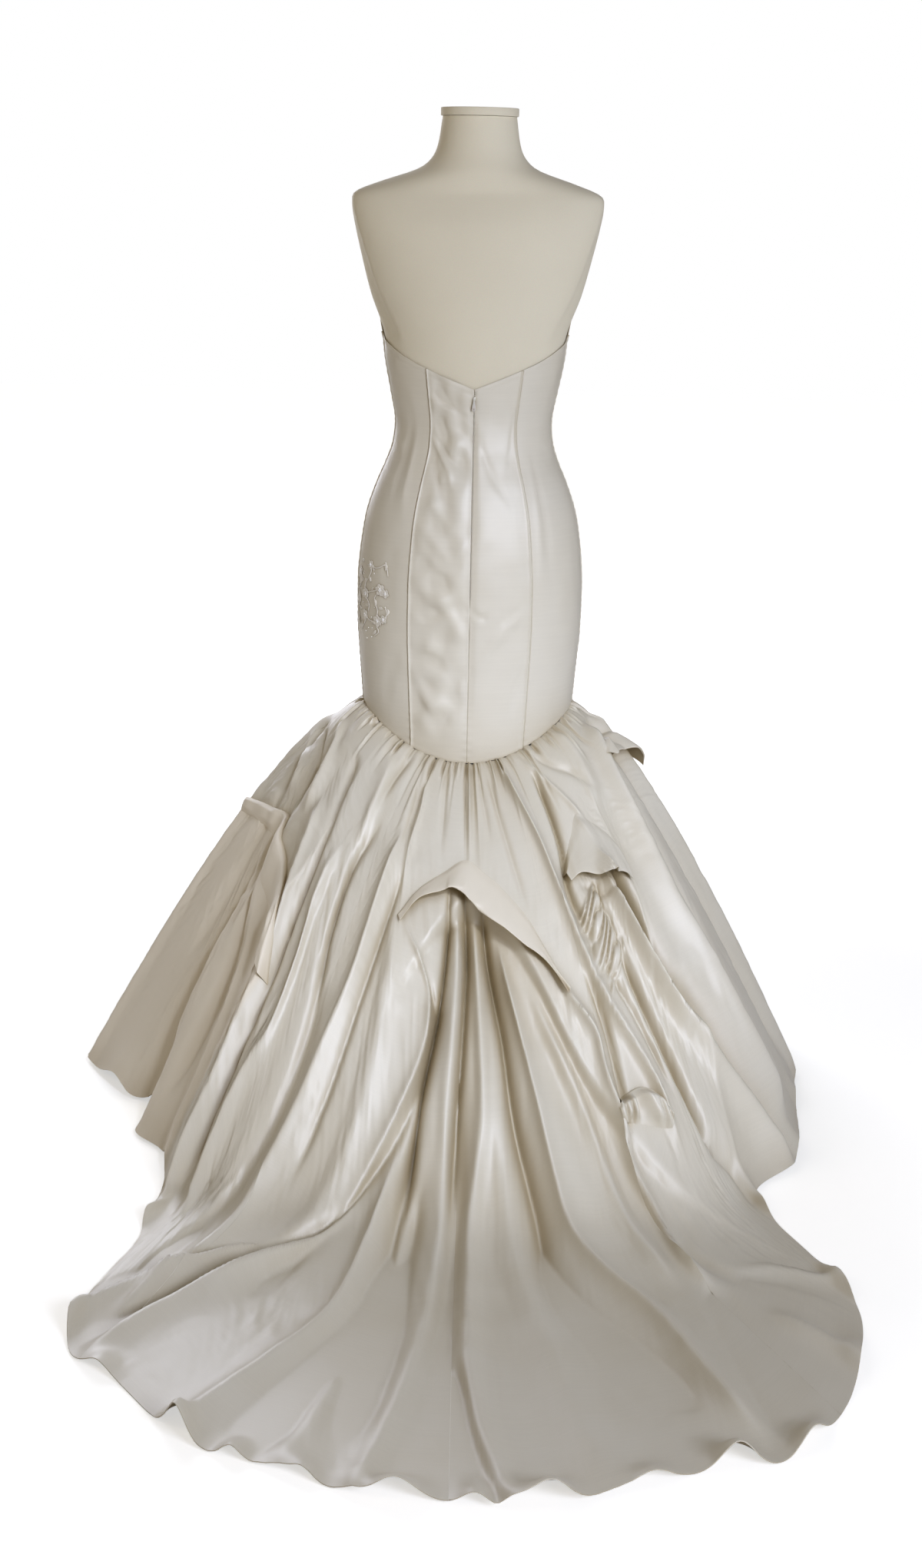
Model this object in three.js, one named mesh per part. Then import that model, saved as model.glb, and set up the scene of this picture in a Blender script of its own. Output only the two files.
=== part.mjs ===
// A strapless mermaid gown with a chapel train, worn on a limbless dress form on a pole and round base.
// Millimetres, +Z up. The origin is on the floor under the pole. The gown's front faces -Y, its train
// runs to +Y, and +X is the wearer's left. An angle goes round the body in degrees, from the centre
// front (0) through the wearer's left side (90) and the centre back (180).
import * as THREE from "three";

// Driving sizes.
const CLOTH_WALL = 1.6; // boned bodice and hip panels, satin with its lining
const SKIRT_WALL = 2; // gathered skirt, satin over a stiff underlay
const SEAM_HALF_GAP = 0.2; // from a seam to each of the two panels that meet there
const FORM_CLEARANCE = 1.3; // between the bodice's inside and the dress form
const HIDDEN_CLEARANCE = 1.2; // added below the waist, out of sight
const LANDING = 520; // how far out from the hip seam the cloth comes down to the floor
const TRAIN_SLACK = 0.35; // how much shorter the cloth's steps are near the seam than at the hem
const DROP_CURVE = 1.35; // 1 would be a straight slope from the seam to the floor
const NECK_RADIUS = 56;
const POLE_RADIUS = 17;
const BASE_RADIUS = 200;
const BASE_HEIGHT = 12;

// Sections of the gown's outer face: half width, and depth before and behind the middle.
const GOWN_SECTIONS = [
  { z: 520, half: 160, front: 118, back: 136 },
  { z: 600, half: 164, front: 117, back: 133 },
  { z: 643, half: 168, front: 115, back: 131 },
  { z: 694, half: 172, front: 114, back: 130 },
  { z: 745, half: 176, front: 114, back: 130 },
  { z: 794, half: 177, front: 113, back: 131 },
  { z: 844, half: 176, front: 112, back: 131 },
  { z: 893, half: 171, front: 110, back: 128 },
  { z: 942, half: 162, front: 107, back: 120 },
  { z: 985, half: 147, front: 101, back: 109 },
  { z: 1015, half: 134, front: 96, back: 99 },
  { z: 1045, half: 124, front: 92, back: 91 },
  { z: 1081, half: 121, front: 90, back: 88 },
  { z: 1122, half: 128, front: 94, back: 92 },
  { z: 1169, half: 137, front: 100, back: 98 },
  { z: 1216, half: 144, front: 104, back: 103 },
  { z: 1271, half: 164, front: 104, back: 106 },
  { z: 1328, half: 180, front: 98, back: 104 },
  { z: 1374, half: 190, front: 84, back: 94 },
  { z: 1405, half: 194, front: 68, back: 80 },
  { z: 1421, half: 187, front: 62, back: 72 },
  { z: 1437, half: 146, front: 64, back: 69 },
  { z: 1455, half: 93, front: 67, back: 66 },
  { z: 1470, half: 73, front: 65, back: 61 },
  { z: 1490, half: 63, front: 62, back: 57 },
  { z: 1533, half: NECK_RADIUS, front: 58, back: 54 },
];
const BUST = { angle: 37, z: 1244, rise: 27, angleSpread: 17, zSpread: 46, formShare: 0.88 };

// The bodice's top edge and the drop-waist seam, by angle from the centre front to the centre back.
const TOP_EDGE = [
  { angle: 0, z: 1262 },
  { angle: 20, z: 1290 },
  { angle: 38, z: 1304 },
  { angle: 60, z: 1278 },
  { angle: 90, z: 1213 },
  { angle: 115, z: 1192 },
  { angle: 147, z: 1164 },
  { angle: 180, z: 1134 },
];
const SEAM = { side: 630, frontRise: 10, backDip: 70 };

// The hem in plan, by the seam angle that the cloth falls from.
const HEM = [
  { angle: 0, x: 0, y: -430 },
  { angle: 22, x: 165, y: -412 },
  { angle: 45, x: 335, y: -345 },
  { angle: 65, x: 490, y: -225 },
  { angle: 82, x: 596, y: -60 },
  { angle: 92, x: 620, y: 32 },
  { angle: 100, x: 545, y: 168 },
  { angle: 108, x: 484, y: 212 },
  { angle: 116, x: 503, y: 313 },
  { angle: 123, x: 455, y: 380 },
  { angle: 130, x: 438, y: 460 },
  { angle: 136, x: 436, y: 540 },
  { angle: 141, x: 446, y: 606 },
  { angle: 145, x: 448, y: 672 },
  { angle: 149, x: 476, y: 772 },
  { angle: 153, x: 500, y: 882 },
  { angle: 156, x: 485, y: 975 },
  { angle: 160, x: 420, y: 1035 },
  { angle: 165, x: 320, y: 1165 },
  { angle: 171, x: 200, y: 1222 },
  { angle: 176, x: 105, y: 1268 },
  { angle: 180, x: 5, y: 1278 },
  { angle: 184, x: -95, y: 1292 },
  { angle: 189, x: -200, y: 1246 },
  { angle: 194, x: -300, y: 1205 },
  { angle: 199, x: -400, y: 1175 },
  { angle: 204, x: -485, y: 1050 },
  { angle: 209, x: -532, y: 880 },
  { angle: 215, x: -530, y: 775 },
  { angle: 220, x: -496, y: 668 },
  { angle: 225, x: -458, y: 564 },
  { angle: 231, x: -446, y: 474 },
  { angle: 238, x: -508, y: 388 },
  { angle: 245, x: -532, y: 304 },
  { angle: 253, x: -546, y: 173 },
  { angle: 264, x: -560, y: 30 },
  { angle: 280, x: -548, y: -120 },
  { angle: 300, x: -440, y: -290 },
  { angle: 330, x: -220, y: -402 },
];

// Ridges (height over 0) and troughs of the skirt: their angle at four shares of the way from seam to
// hem, the shares they run between, their half width in degrees and their height in millimetres.
const FOLDS = [
  { a25: 92, a50: 96, a75: 97, a100: 96, from: 0.1, to: 1.2, width: 4.5, height: 10 },
  { a25: 114, a50: 127, a75: 136, a100: 138, from: 0.12, to: 0.85, width: 3.6, height: 17 },
  { a25: 132, a50: 142, a75: 143, a100: 143, from: 0.06, to: 0.78, width: 3, height: -16 },
  { a25: 143, a50: 151, a75: 150, a100: 149, from: 0.06, to: 0.82, width: 2.6, height: 18 },
  { a25: 158, a50: 158, a75: 155, a100: 154, from: 0.08, to: 0.95, width: 1.8, height: -20 },
  { a25: 164, a50: 162, a75: 157, a100: 156, from: 0.1, to: 1, width: 1.7, height: 20 },
  { a25: 168, a50: 166.5, a75: 160.5, a100: 159, from: 0.24, to: 1, width: 1.8, height: 14 },
  { a25: 167, a50: 171.5, a75: 163, a100: 159, from: 0.26, to: 1, width: 1.5, height: 18 },
  { a25: 170, a50: 173.5, a75: 167, a100: 162, from: 0.3, to: 0.95, width: 1.4, height: -16 },
  { a25: 172, a50: 174, a75: 169, a100: 166, from: 0.5, to: 1.2, width: 1.8, height: 14 },
  { a25: 177, a50: 175.5, a75: 173, a100: 171, from: 0.18, to: 0.62, width: 1.3, height: -26 },
  { a25: 179, a50: 178, a75: 177, a100: 175.5, from: 0.2, to: 1.2, width: 1.7, height: 20 },
  { a25: 180.5, a50: 180, a75: 179.4, a100: 180, from: 0.18, to: 1.2, width: 1.3, height: -34 },
  { a25: 183, a50: 182.6, a75: 182, a100: 183, from: 0.18, to: 1.2, width: 1.7, height: 16 },
  { a25: 185.5, a50: 189, a75: 190, a100: 191, from: 0.2, to: 0.85, width: 1.5, height: -34 },
  { a25: 189, a50: 192.5, a75: 194, a100: 194, from: 0.25, to: 1, width: 1.8, height: 14 },
  { a25: 191, a50: 196, a75: 197, a100: 199, from: 0.28, to: 1.2, width: 1.7, height: 20 },
  { a25: 190, a50: 199, a75: 206, a100: 211, from: 0.28, to: 1.2, width: 1.8, height: 16 },
  { a25: 198, a50: 203, a75: 201, a100: 203, from: 0.3, to: 0.97, width: 1.8, height: -14 },
  { a25: 205, a50: 209, a75: 213, a100: 215, from: 0.06, to: 1.2, width: 2.2, height: 20 },
  { a25: 212, a50: 216, a75: 219, a100: 221, from: 0.12, to: 0.8, width: 2.6, height: -16 },
  { a25: 219, a50: 221, a75: 224, a100: 226, from: 0.15, to: 0.8, width: 2.4, height: 12 },
  { a25: 226, a50: 228, a75: 232, a100: 235, from: 0.2, to: 0.72, width: 2.4, height: -16 },
  { a25: 232, a50: 234, a75: 238, a100: 243, from: 0.1, to: 1.2, width: 3, height: 16 },
  { a25: 243, a50: 245, a75: 250, a100: 252, from: 0.1, to: 0.97, width: 3.5, height: -12 },
  { a25: 256, a50: 257, a75: 259, a100: 261, from: 0.1, to: 1.2, width: 4, height: 13 },
];
const FRONT_WAVES = { count: 13, height: 13, unevenness: 0.8 };
const FOLD_STEEPNESS = 0.7; // most height for a fold's half width
const WIDE_SPAN = 9; // degrees to each side
const GATHER_HEIGHT = 2.4;

// The hollow under the centre pick-up, where the train comes out from inside the tent of cloth.
const NICHE = { angle: 182, t: 0.27, depth: 26, angleSpread: 11, above: 0.035, below: 0.13 };

// Each pick-up turns the cloth back in a band: its sewn edge and its free edge as skirt angle and share
// of the way to the hem, and how far the free edge stands off.
const CENTRE_PICK_UP = [
  { sewnAngle: 165.5, sewnT: 0.282, freeAngle: 166.5, freeT: 0.29, lift: 4 },
  { sewnAngle: 168.8, sewnT: 0.245, freeAngle: 169.5, freeT: 0.26, lift: 10 },
  { sewnAngle: 174.2, sewnT: 0.215, freeAngle: 174.5, freeT: 0.243, lift: 15 },
  { sewnAngle: 180.5, sewnT: 0.19, freeAngle: 178.2, freeT: 0.237, lift: 19 },
  { sewnAngle: 185.8, sewnT: 0.21, freeAngle: 182.8, freeT: 0.256, lift: 21 },
  { sewnAngle: 190, sewnT: 0.238, freeAngle: 187.6, freeT: 0.281, lift: 20 },
  { sewnAngle: 194.5, sewnT: 0.277, freeAngle: 192.6, freeT: 0.311, lift: 16 },
  { sewnAngle: 197.6, sewnT: 0.318, freeAngle: 196.4, freeT: 0.331, lift: 11 },
  { sewnAngle: 200, sewnT: 0.36, freeAngle: 199.2, freeT: 0.367, lift: 7 },
];
const RIGHT_PICK_UP = [
  { sewnAngle: 205.6, sewnT: 0.256, freeAngle: 206, freeT: 0.274, lift: 5 },
  { sewnAngle: 208, sewnT: 0.242, freeAngle: 208.3, freeT: 0.284, lift: 11 },
  { sewnAngle: 212, sewnT: 0.232, freeAngle: 211.8, freeT: 0.31, lift: 16 },
  { sewnAngle: 217.8, sewnT: 0.229, freeAngle: 216.8, freeT: 0.348, lift: 18 },
  { sewnAngle: 223, sewnT: 0.298, freeAngle: 221.8, freeT: 0.402, lift: 17 },
  { sewnAngle: 227.5, sewnT: 0.373, freeAngle: 225.8, freeT: 0.454, lift: 12 },
  { sewnAngle: 230.8, sewnT: 0.445, freeAngle: 228.8, freeT: 0.502, lift: 5 },
];
const LEFT_PICK_UP = [
  { sewnAngle: 84, sewnT: 0.5, freeAngle: 85, freeT: 0.525, lift: 4 },
  { sewnAngle: 96, sewnT: 0.462, freeAngle: 96, freeT: 0.505, lift: 7 },
  { sewnAngle: 108, sewnT: 0.461, freeAngle: 106, freeT: 0.525, lift: 9 },
  { sewnAngle: 117, sewnT: 0.487, freeAngle: 112.5, freeT: 0.555, lift: 9 },
  { sewnAngle: 126, sewnT: 0.54, freeAngle: 120, freeT: 0.598, lift: 9 },
  { sewnAngle: 134.5, sewnT: 0.588, freeAngle: 127.5, freeT: 0.642, lift: 7 },
  { sewnAngle: 139, sewnT: 0.64, freeAngle: 132.5, freeT: 0.675, lift: 4 },
];
const SIDE_PICK_UP = [
  { sewnAngle: 243, sewnT: 0.225, freeAngle: 245, freeT: 0.25, lift: 6 },
  { sewnAngle: 249, sewnT: 0.185, freeAngle: 251, freeT: 0.25, lift: 14 },
  { sewnAngle: 257, sewnT: 0.17, freeAngle: 258, freeT: 0.27, lift: 20 },
  { sewnAngle: 265, sewnT: 0.21, freeAngle: 264, freeT: 0.315, lift: 19 },
  { sewnAngle: 271, sewnT: 0.29, freeAngle: 269, freeT: 0.36, lift: 11 },
];
const LOWER_PICK_UP = [
  { sewnAngle: 202.6, sewnT: 0.494, freeAngle: 202.8, freeT: 0.51, lift: 3 },
  { sewnAngle: 204.2, sewnT: 0.498, freeAngle: 204.4, freeT: 0.527, lift: 7 },
  { sewnAngle: 206.3, sewnT: 0.517, freeAngle: 206.1, freeT: 0.552, lift: 9 },
  { sewnAngle: 208, sewnT: 0.545, freeAngle: 207.8, freeT: 0.58, lift: 8 },
  { sewnAngle: 209.3, sewnT: 0.58, freeAngle: 208.9, freeT: 0.594, lift: 3 },
];
// Each clearance, from the skirt's face to the outside of the sewn edge, leaves about 0.3 mm under it.
const PICK_UPS = [
  { name: "pick_up_centre", table: CENTRE_PICK_UP, clearance: 3.45 },
  { name: "pick_up_right", table: RIGHT_PICK_UP, clearance: 2.81 },
  { name: "pick_up_left", table: LEFT_PICK_UP, clearance: 3.32 },
  { name: "pick_up_side", table: SIDE_PICK_UP, clearance: 2.59 },
  { name: "pick_up_lower", table: LOWER_PICK_UP, clearance: 0.52 },
];
const BAND_STEPS = 3; // columns between two rows of a pick-up's table

// Panels by the angles of their seams. Sheath columns are spread evenly; a skirt panel has whole gathers.
const SHEATH_PANELS = [
  { name: "bodice_centre_front", from: -40, to: 40, columns: 12 },
  { name: "bodice_side_front_left", from: 40, to: 90, columns: 7 },
  { name: "bodice_side_back_left", from: 90, to: 147, columns: 8 },
  { name: "bodice_centre_back_left", from: 147, to: 180, columns: 6 },
  { name: "bodice_centre_back_right", from: 180, to: 213, columns: 6 },
  { name: "bodice_side_back_right", from: 213, to: 270, columns: 8 },
  { name: "bodice_side_front_right", from: 270, to: 320, columns: 7 },
];
const SHEATH_ROWS = 17;
const SKIRT_PANELS = [
  { name: "skirt_front", from: -90, to: 90, gathers: 24, perGather: 3, halve: true },
  { name: "skirt_side_left", from: 90, to: 157, gathers: 12, perGather: 4, halve: false },
  { name: "skirt_train_left", from: 157, to: 180, gathers: 6, perGather: 4, halve: false },
  { name: "skirt_train_right", from: 180, to: 203, gathers: 6, perGather: 4, halve: false },
  { name: "skirt_side_right", from: 203, to: 270, gathers: 12, perGather: 4, halve: false },
];
const GATHER_RINGS = [0, 0.04, 0.1, 0.18];
const LOWER_RINGS = [0.28, 0.38, 0.48, 0.58, 0.68, 0.78, 0.89, 1];

const ZIP = {
  z: 1121,
  standOff: 0.4,
  sliderWidth: 5,
  sliderHeight: 4.4,
  sliderBack: 1.4,
  cheek: 1,
  cheekGap: 0.35,
  axisOut: 2.9,
  tabLength: 19,
  tabWidth: 5.4,
  tabThickness: 1.2,
};
const APPLIQUE = { angle: 108, z: 800, halfAngle: 24, halfHeight: 66, wall: 1.2, lobes: 7 };

const cloth = new THREE.MeshStandardMaterial({ color: 0xe9e5dc, roughness: 0.42 });
const lace = new THREE.MeshStandardMaterial({ color: 0xe4ddcf, roughness: 0.6 });
const linen = new THREE.MeshStandardMaterial({ color: 0xcdc8b6, roughness: 0.85 });
const paintedSteel = new THREE.MeshStandardMaterial({ color: 0x2c2c2e, roughness: 0.5, metalness: 0.6 });
const zipMetal = new THREE.MeshStandardMaterial({ color: 0xe4e1d8, roughness: 0.35 });

const gown = new THREE.Group();
const radians = (degrees) => THREE.MathUtils.degToRad(degrees);
const { lerp, smoothstep } = THREE.MathUtils;

function addMesh(name, geometry, material) {
  const mesh = new THREE.Mesh(geometry, material);
  mesh.name = name;
  gown.add(mesh);
  return mesh;
}

// A smooth curve through one column of a table, read at a value of its key column.
function curve(table, key, column, at) {
  let i = 0;
  while (i < table.length - 2 && at > table[i + 1][key]) i += 1;
  const slope = (k) => {
    const before = table[Math.max(0, k - 1)];
    const after = table[Math.min(table.length - 1, k + 1)];
    return (after[column] - before[column]) / (after[key] - before[key]);
  };
  const [low, high] = [table[i], table[i + 1]];
  const span = high[key] - low[key];
  const u = THREE.MathUtils.clamp((at - low[key]) / span, 0, 1);
  const u2 = u * u;
  const u3 = u2 * u;
  return (
    low[column] * (2 * u3 - 3 * u2 + 1) +
    slope(i) * span * (u3 - 2 * u2 + u) +
    high[column] * (3 * u2 - 2 * u3) +
    slope(i + 1) * span * (u3 - u2)
  );
}

const wrap = (angle) => ((angle % 360) + 360) % 360;
const mirrored = (angle) => (wrap(angle) > 180 ? 360 - wrap(angle) : wrap(angle));

const HEM_RING = [
  ...HEM.slice(-2).map((row) => ({ ...row, angle: row.angle - 360 })),
  ...HEM,
  ...HEM.slice(0, 2).map((row) => ({ ...row, angle: row.angle + 360 })),
];

// The body
function bustRise(angle, z) {
  const off = (mirrored(angle) - BUST.angle) / BUST.angleSpread;
  const up = (z - BUST.z) / BUST.zSpread;
  return BUST.rise * Math.exp(-(off * off + up * up) / 2);
}

// A point of the gown's outer face at a height, or of the form under it when inset and bust are given.
function bodyPoint(angle, z, inset = 0, bust = 1) {
  const half = curve(GOWN_SECTIONS, "z", "half", z) - inset;
  const sine = Math.sin(radians(angle));
  const cosine = Math.cos(radians(angle));
  const depth = curve(GOWN_SECTIONS, "z", cosine > 0 ? "front" : "back", z) - inset;
  const rise = bust * bustRise(angle, z);
  return new THREE.Vector3(half * sine + rise * sine, -depth * cosine - rise * cosine, z);
}

const topEdge = (angle) => curve(TOP_EDGE, "angle", "z", mirrored(angle));

function seamHeight(angle) {
  const cosine = Math.cos(radians(angle));
  return SEAM.side + (cosine > 0 ? SEAM.frontRise : -SEAM.backDip) * cosine * cosine;
}

// The skirt
const softFloor = (x, blend) => 0.5 * (x + Math.sqrt(x * x + blend * blend));

function skirtBase(angle, t) {
  const start = bodyPoint(angle, seamHeight(angle));
  const at = wrap(angle);
  const hem = new THREE.Vector2(curve(HEM_RING, "angle", "x", at), curve(HEM_RING, "angle", "y", at));
  const reach = Math.hypot(hem.x - start.x, hem.y - start.y);
  const landing = Math.min(1, LANDING / reach);
  const u = t * (1 - TRAIN_SLACK * (1 - t));
  const blend = 0.02 + 0.3 * (1 - landing);
  const left = softFloor(1 - (u / landing) ** DROP_CURVE, blend) / softFloor(1, blend);
  return new THREE.Vector3(lerp(start.x, hem.x, u), lerp(start.y, hem.y, u), start.z * left);
}

const foldPath = (fold) => [
  { t: 0.25, angle: fold.a25 },
  { t: 0.5, angle: fold.a50 },
  { t: 0.75, angle: fold.a75 },
  { t: 1, angle: fold.a100 },
];
const FOLD_RUNS = FOLDS.map((fold) => ({ ...fold, path: foldPath(fold) }));

// A fold's height at a point, where a degree of the skirt is this wide: a narrow fold stays lower.
function foldHeight(fold, angle, t, degreeWidth) {
  const most = FOLD_STEEPNESS * fold.width * degreeWidth;
  const off = (angle - curve(fold.path, "t", "angle", t)) / fold.width;
  const run = smoothstep(t, fold.from, fold.from + 0.16) * (1 - smoothstep(t, fold.to - 0.16, fold.to));
  return most * Math.tanh(fold.height / most) * run * Math.exp(-off * off);
}

function frontWaves(angle, t) {
  const side = mirrored(angle) / 90;
  if (side >= 1) return 0;
  const phase = radians(angle) * FRONT_WAVES.count * 2;
  const uneven = FRONT_WAVES.unevenness * Math.sin(radians(angle) * 3.3 + 1);
  return FRONT_WAVES.height * smoothstep(t, 0.08, 0.9) * (1 - side ** 6) * Math.sin(phase + uneven);
}

function gatherHeight(angle, t) {
  const turned = angle >= 270 ? angle - 360 : angle;
  const panel = SKIRT_PANELS.find((p) => turned >= p.from && turned <= p.to) ?? SKIRT_PANELS[0];
  const count = ((turned - panel.from) / (panel.to - panel.from)) * panel.gathers;
  const uneven = 1 + 0.35 * Math.sin(2.4 * Math.floor(count) + 1);
  const run = (0.5 + 0.5 * smoothstep(t, 0, 0.05)) * (1 - smoothstep(t, 0.08, 0.27));
  return GATHER_HEIGHT * uneven * run * Math.sin(2 * Math.PI * count);
}

function nicheDepth(angle, t) {
  const off = (angle - NICHE.angle) / NICHE.angleSpread;
  const top = NICHE.t + 0.0006 * (angle - NICHE.angle) ** 2;
  const run = smoothstep(t, top - NICHE.above, top) * (1 - smoothstep(t, top, top + NICHE.below));
  return -NICHE.depth * run * Math.exp(-off * off);
}

function normalOf(surface, angle, t, span = 0.25, step = 0.004) {
  const across = surface(angle + span, t).sub(surface(angle - span, t));
  const low = Math.max(0, t - step);
  const down = surface(angle, Math.min(1, t + step)).sub(surface(angle, low));
  return down.cross(across).normalize();
}

// The way out of the skirt, taken over a wide piece of it so that neighbouring folds don't converge.
const outwards = (angle, t) => normalOf(skirtBase, angle, t, WIDE_SPAN);

function skirtPoint(angle, t) {
  const at = wrap(angle);
  const degreeWidth = skirtBase(at + 0.5, t).distanceTo(skirtBase(at - 0.5, t));
  let height = gatherHeight(at, t) + frontWaves(at, t);
  for (const fold of FOLD_RUNS) height += foldHeight(fold, at, t, degreeWidth);
  height += nicheDepth(at, t);
  const point = skirtBase(angle, t).addScaledVector(outwards(angle, t), height);
  point.z = Math.max(point.z, SKIRT_WALL);
  return point;
}

// Cloth walls
// Two rows of a sheet, the first at least as fine as the second, joined by triangles that face out.
function stitch(triangles, first, firstCount, second, secondCount) {
  if (firstCount === secondCount) {
    for (let j = 0; j < firstCount - 1; j += 1) {
      triangles.push([first + j, second + j, second + j + 1], [first + j, second + j + 1, first + j + 1]);
    }
    return;
  }
  for (let k = 0; k < secondCount - 1; k += 1) {
    const middle = first + 2 * k + 1;
    triangles.push([middle - 1, second + k, middle]);
    triangles.push([middle, second + k, second + k + 1]);
    triangles.push([middle, second + k + 1, middle + 1]);
  }
}

// A closed wall from rows of {point, normal}: the rows are its outside, and the wall grows inwards.
function wallGeometry(rows, thickness, floor = -Infinity) {
  const outside = rows.flat();
  const count = outside.length;
  const sheet = [];
  let start = 0;
  for (let i = 0; i < rows.length - 1; i += 1) {
    stitch(sheet, start, rows[i].length, start + rows[i].length, rows[i + 1].length);
    start += rows[i].length;
  }
  const positions = outside.flatMap(({ point }) => [point.x, point.y, point.z]);
  for (const { point, normal } of outside) {
    const inner = point.clone().addScaledVector(normal, -thickness);
    positions.push(inner.x, inner.y, Math.max(inner.z, floor));
  }
  const edges = new Map();
  for (const [a, b, c] of sheet) {
    for (const [u, v] of [[a, b], [b, c], [c, a]]) edges.set(`${u},${v}`, [u, v]);
  }
  const index = [];
  for (const [a, b, c] of sheet) index.push(a, b, c, a + count, c + count, b + count);
  // Both panels of a seam split their edge faces the same way, so the gap between them stays even.
  for (const [u, v] of edges.values()) {
    if (edges.has(`${v},${u}`)) continue;
    if (u < v) index.push(v, u, u + count, v, u + count, v + count);
    else index.push(v, u, v + count, u, u + count, v + count);
  }
  const geometry = new THREE.BufferGeometry();
  geometry.setAttribute("position", new THREE.Float32BufferAttribute(positions, 3));
  geometry.setIndex(index);
  return geometry;
}

// A wall's thickness is taken square to the facets, which are about this wide in degrees and share.
const FACET_SPAN = 0.9;
const FACET_STEP = 0.04;

// One row of a panel between two seams, its ends moved in from each seam by half the gap.
function panelRow(surface, panel, t, columns) {
  const row = [];
  for (let j = 0; j <= columns; j += 1) {
    const angle = lerp(panel.from, panel.to, j / columns);
    const point = surface(angle, t);
    const normal = normalOf(surface, angle, t, FACET_SPAN, FACET_STEP);
    const inwards = j === 0 ? 1 : j === columns ? -1 : 0;
    if (inwards) {
      const along = surface(angle, Math.min(1, t + 0.01)).sub(surface(angle, Math.max(0, t - 0.01)));
      point.addScaledVector(along.cross(normal).normalize(), -inwards * SEAM_HALF_GAP);
    }
    row.push({ point, normal });
  }
  return row;
}

function sheathPoint(angle, v) {
  return bodyPoint(angle, lerp(topEdge(angle), seamHeight(angle) + 4 * SEAM_HALF_GAP, v));
}

function addSheathPanel(panel) {
  const rows = [];
  for (let i = 0; i <= SHEATH_ROWS; i += 1) {
    rows.push(panelRow(sheathPoint, panel, i / SHEATH_ROWS, panel.columns));
  }
  addMesh(panel.name, wallGeometry(rows, CLOTH_WALL), cloth);
}

const RINGS = [...GATHER_RINGS, ...LOWER_RINGS];
const SKIRT = SKIRT_PANELS.map((panel) => {
  const fine = panel.gathers * panel.perGather;
  const coarse = panel.halve ? fine / 2 : fine;
  const columns = (t) => (GATHER_RINGS.includes(t) ? fine : coarse);
  return { ...panel, rows: RINGS.map((t) => panelRow(skirtPoint, panel, t, columns(t))) };
});

function addSkirtPanel(panel) {
  addMesh(panel.name, wallGeometry(panel.rows, SKIRT_WALL, 0), cloth);
}

// A point on a skirt panel's own facets.
function panelPoint(turned, t) {
  const angle = turned > 270 ? turned - 360 : turned;
  const panel = SKIRT.find(({ from, to }) => angle >= from && angle <= to);
  const ring = Math.min(RINGS.length - 2, RINGS.findLastIndex((at) => at <= t));
  const share = (angle - panel.from) / (panel.to - panel.from);
  const onRow = (row) => {
    const place = share * (row.length - 1);
    const column = Math.min(row.length - 2, Math.floor(place));
    return row[column].point.clone().lerp(row[column + 1].point, place - column);
  };
  const down = (t - RINGS[ring]) / (RINGS[ring + 1] - RINGS[ring]);
  return onRow(panel.rows[ring]).lerp(onRow(panel.rows[ring + 1]), down);
}

// Pick-ups
// How far the skirt's facets stand out near a point, so a band over them clears their ridges.
function faceHeight(angle, t) {
  const out = outwards(angle, t);
  const heights = [-2, -1, 0, 1, 2].map((off) => {
    return panelPoint(angle + off, t).sub(skirtBase(angle + off, t)).dot(out);
  });
  return Math.max(...heights);
}

// A turned-back band over the skirt: sewn edge, rising face and a rounded free edge.
function addPickUp({ name, table, clearance }) {
  const rows = table.map((row, i) => ({ ...row, i }));
  const columns = (table.length - 1) * BAND_STEPS;
  const across = [
    { share: 0, rise: 0 },
    { share: 0.45, rise: 0.55 },
    { share: 0.85, rise: 0.95 },
    { share: 1, rise: 0.92 },
  ];
  const band = across.map(({ share, rise }) => {
    const made = [];
    for (let j = 0; j <= columns; j += 1) {
      const read = (column) => curve(rows, "i", column, j / BAND_STEPS);
      const angle = lerp(read("sewnAngle"), read("freeAngle"), share);
      const t = lerp(read("sewnT"), read("freeT"), share);
      const normal = outwards(angle, t);
      const off = faceHeight(angle, t) + clearance + read("lift") * rise;
      made.push({ point: skirtBase(angle, t).addScaledVector(normal, off), normal });
    }
    return made;
  });
  addMesh(name, wallGeometry(band, SKIRT_WALL, SKIRT_WALL), cloth);
}

// The lace motif on the left hip: a scalloped patch that follows the panel, moved out.
function addApplique() {
  const surface = (angle, t) => {
    const u = lerp(-1, 1, t);
    const scallop = 1 - 0.13 * (0.5 + 0.5 * Math.cos(APPLIQUE.lobes * Math.PI * u));
    const reach = Math.sqrt(Math.max(0, 1 - 0.8 * u * u)) * scallop;
    const at = APPLIQUE.angle + angle * APPLIQUE.halfAngle * reach;
    return bodyPoint(at, APPLIQUE.z - u * APPLIQUE.halfHeight, -(APPLIQUE.wall + 1.3));
  };
  const rows = [];
  for (let i = 0; i <= 14; i += 1) {
    const row = [];
    for (let j = 0; j <= 6; j += 1) {
      const point = surface(lerp(-1, 1, j / 6), i / 14);
      const normal = new THREE.Vector3(Math.sin(radians(APPLIQUE.angle)), -Math.cos(radians(APPLIQUE.angle)), 0);
      row.push({ point, normal });
    }
    rows.push(row);
  }
  addMesh("hip_applique", wallGeometry(rows, APPLIQUE.wall), lace);
}

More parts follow.
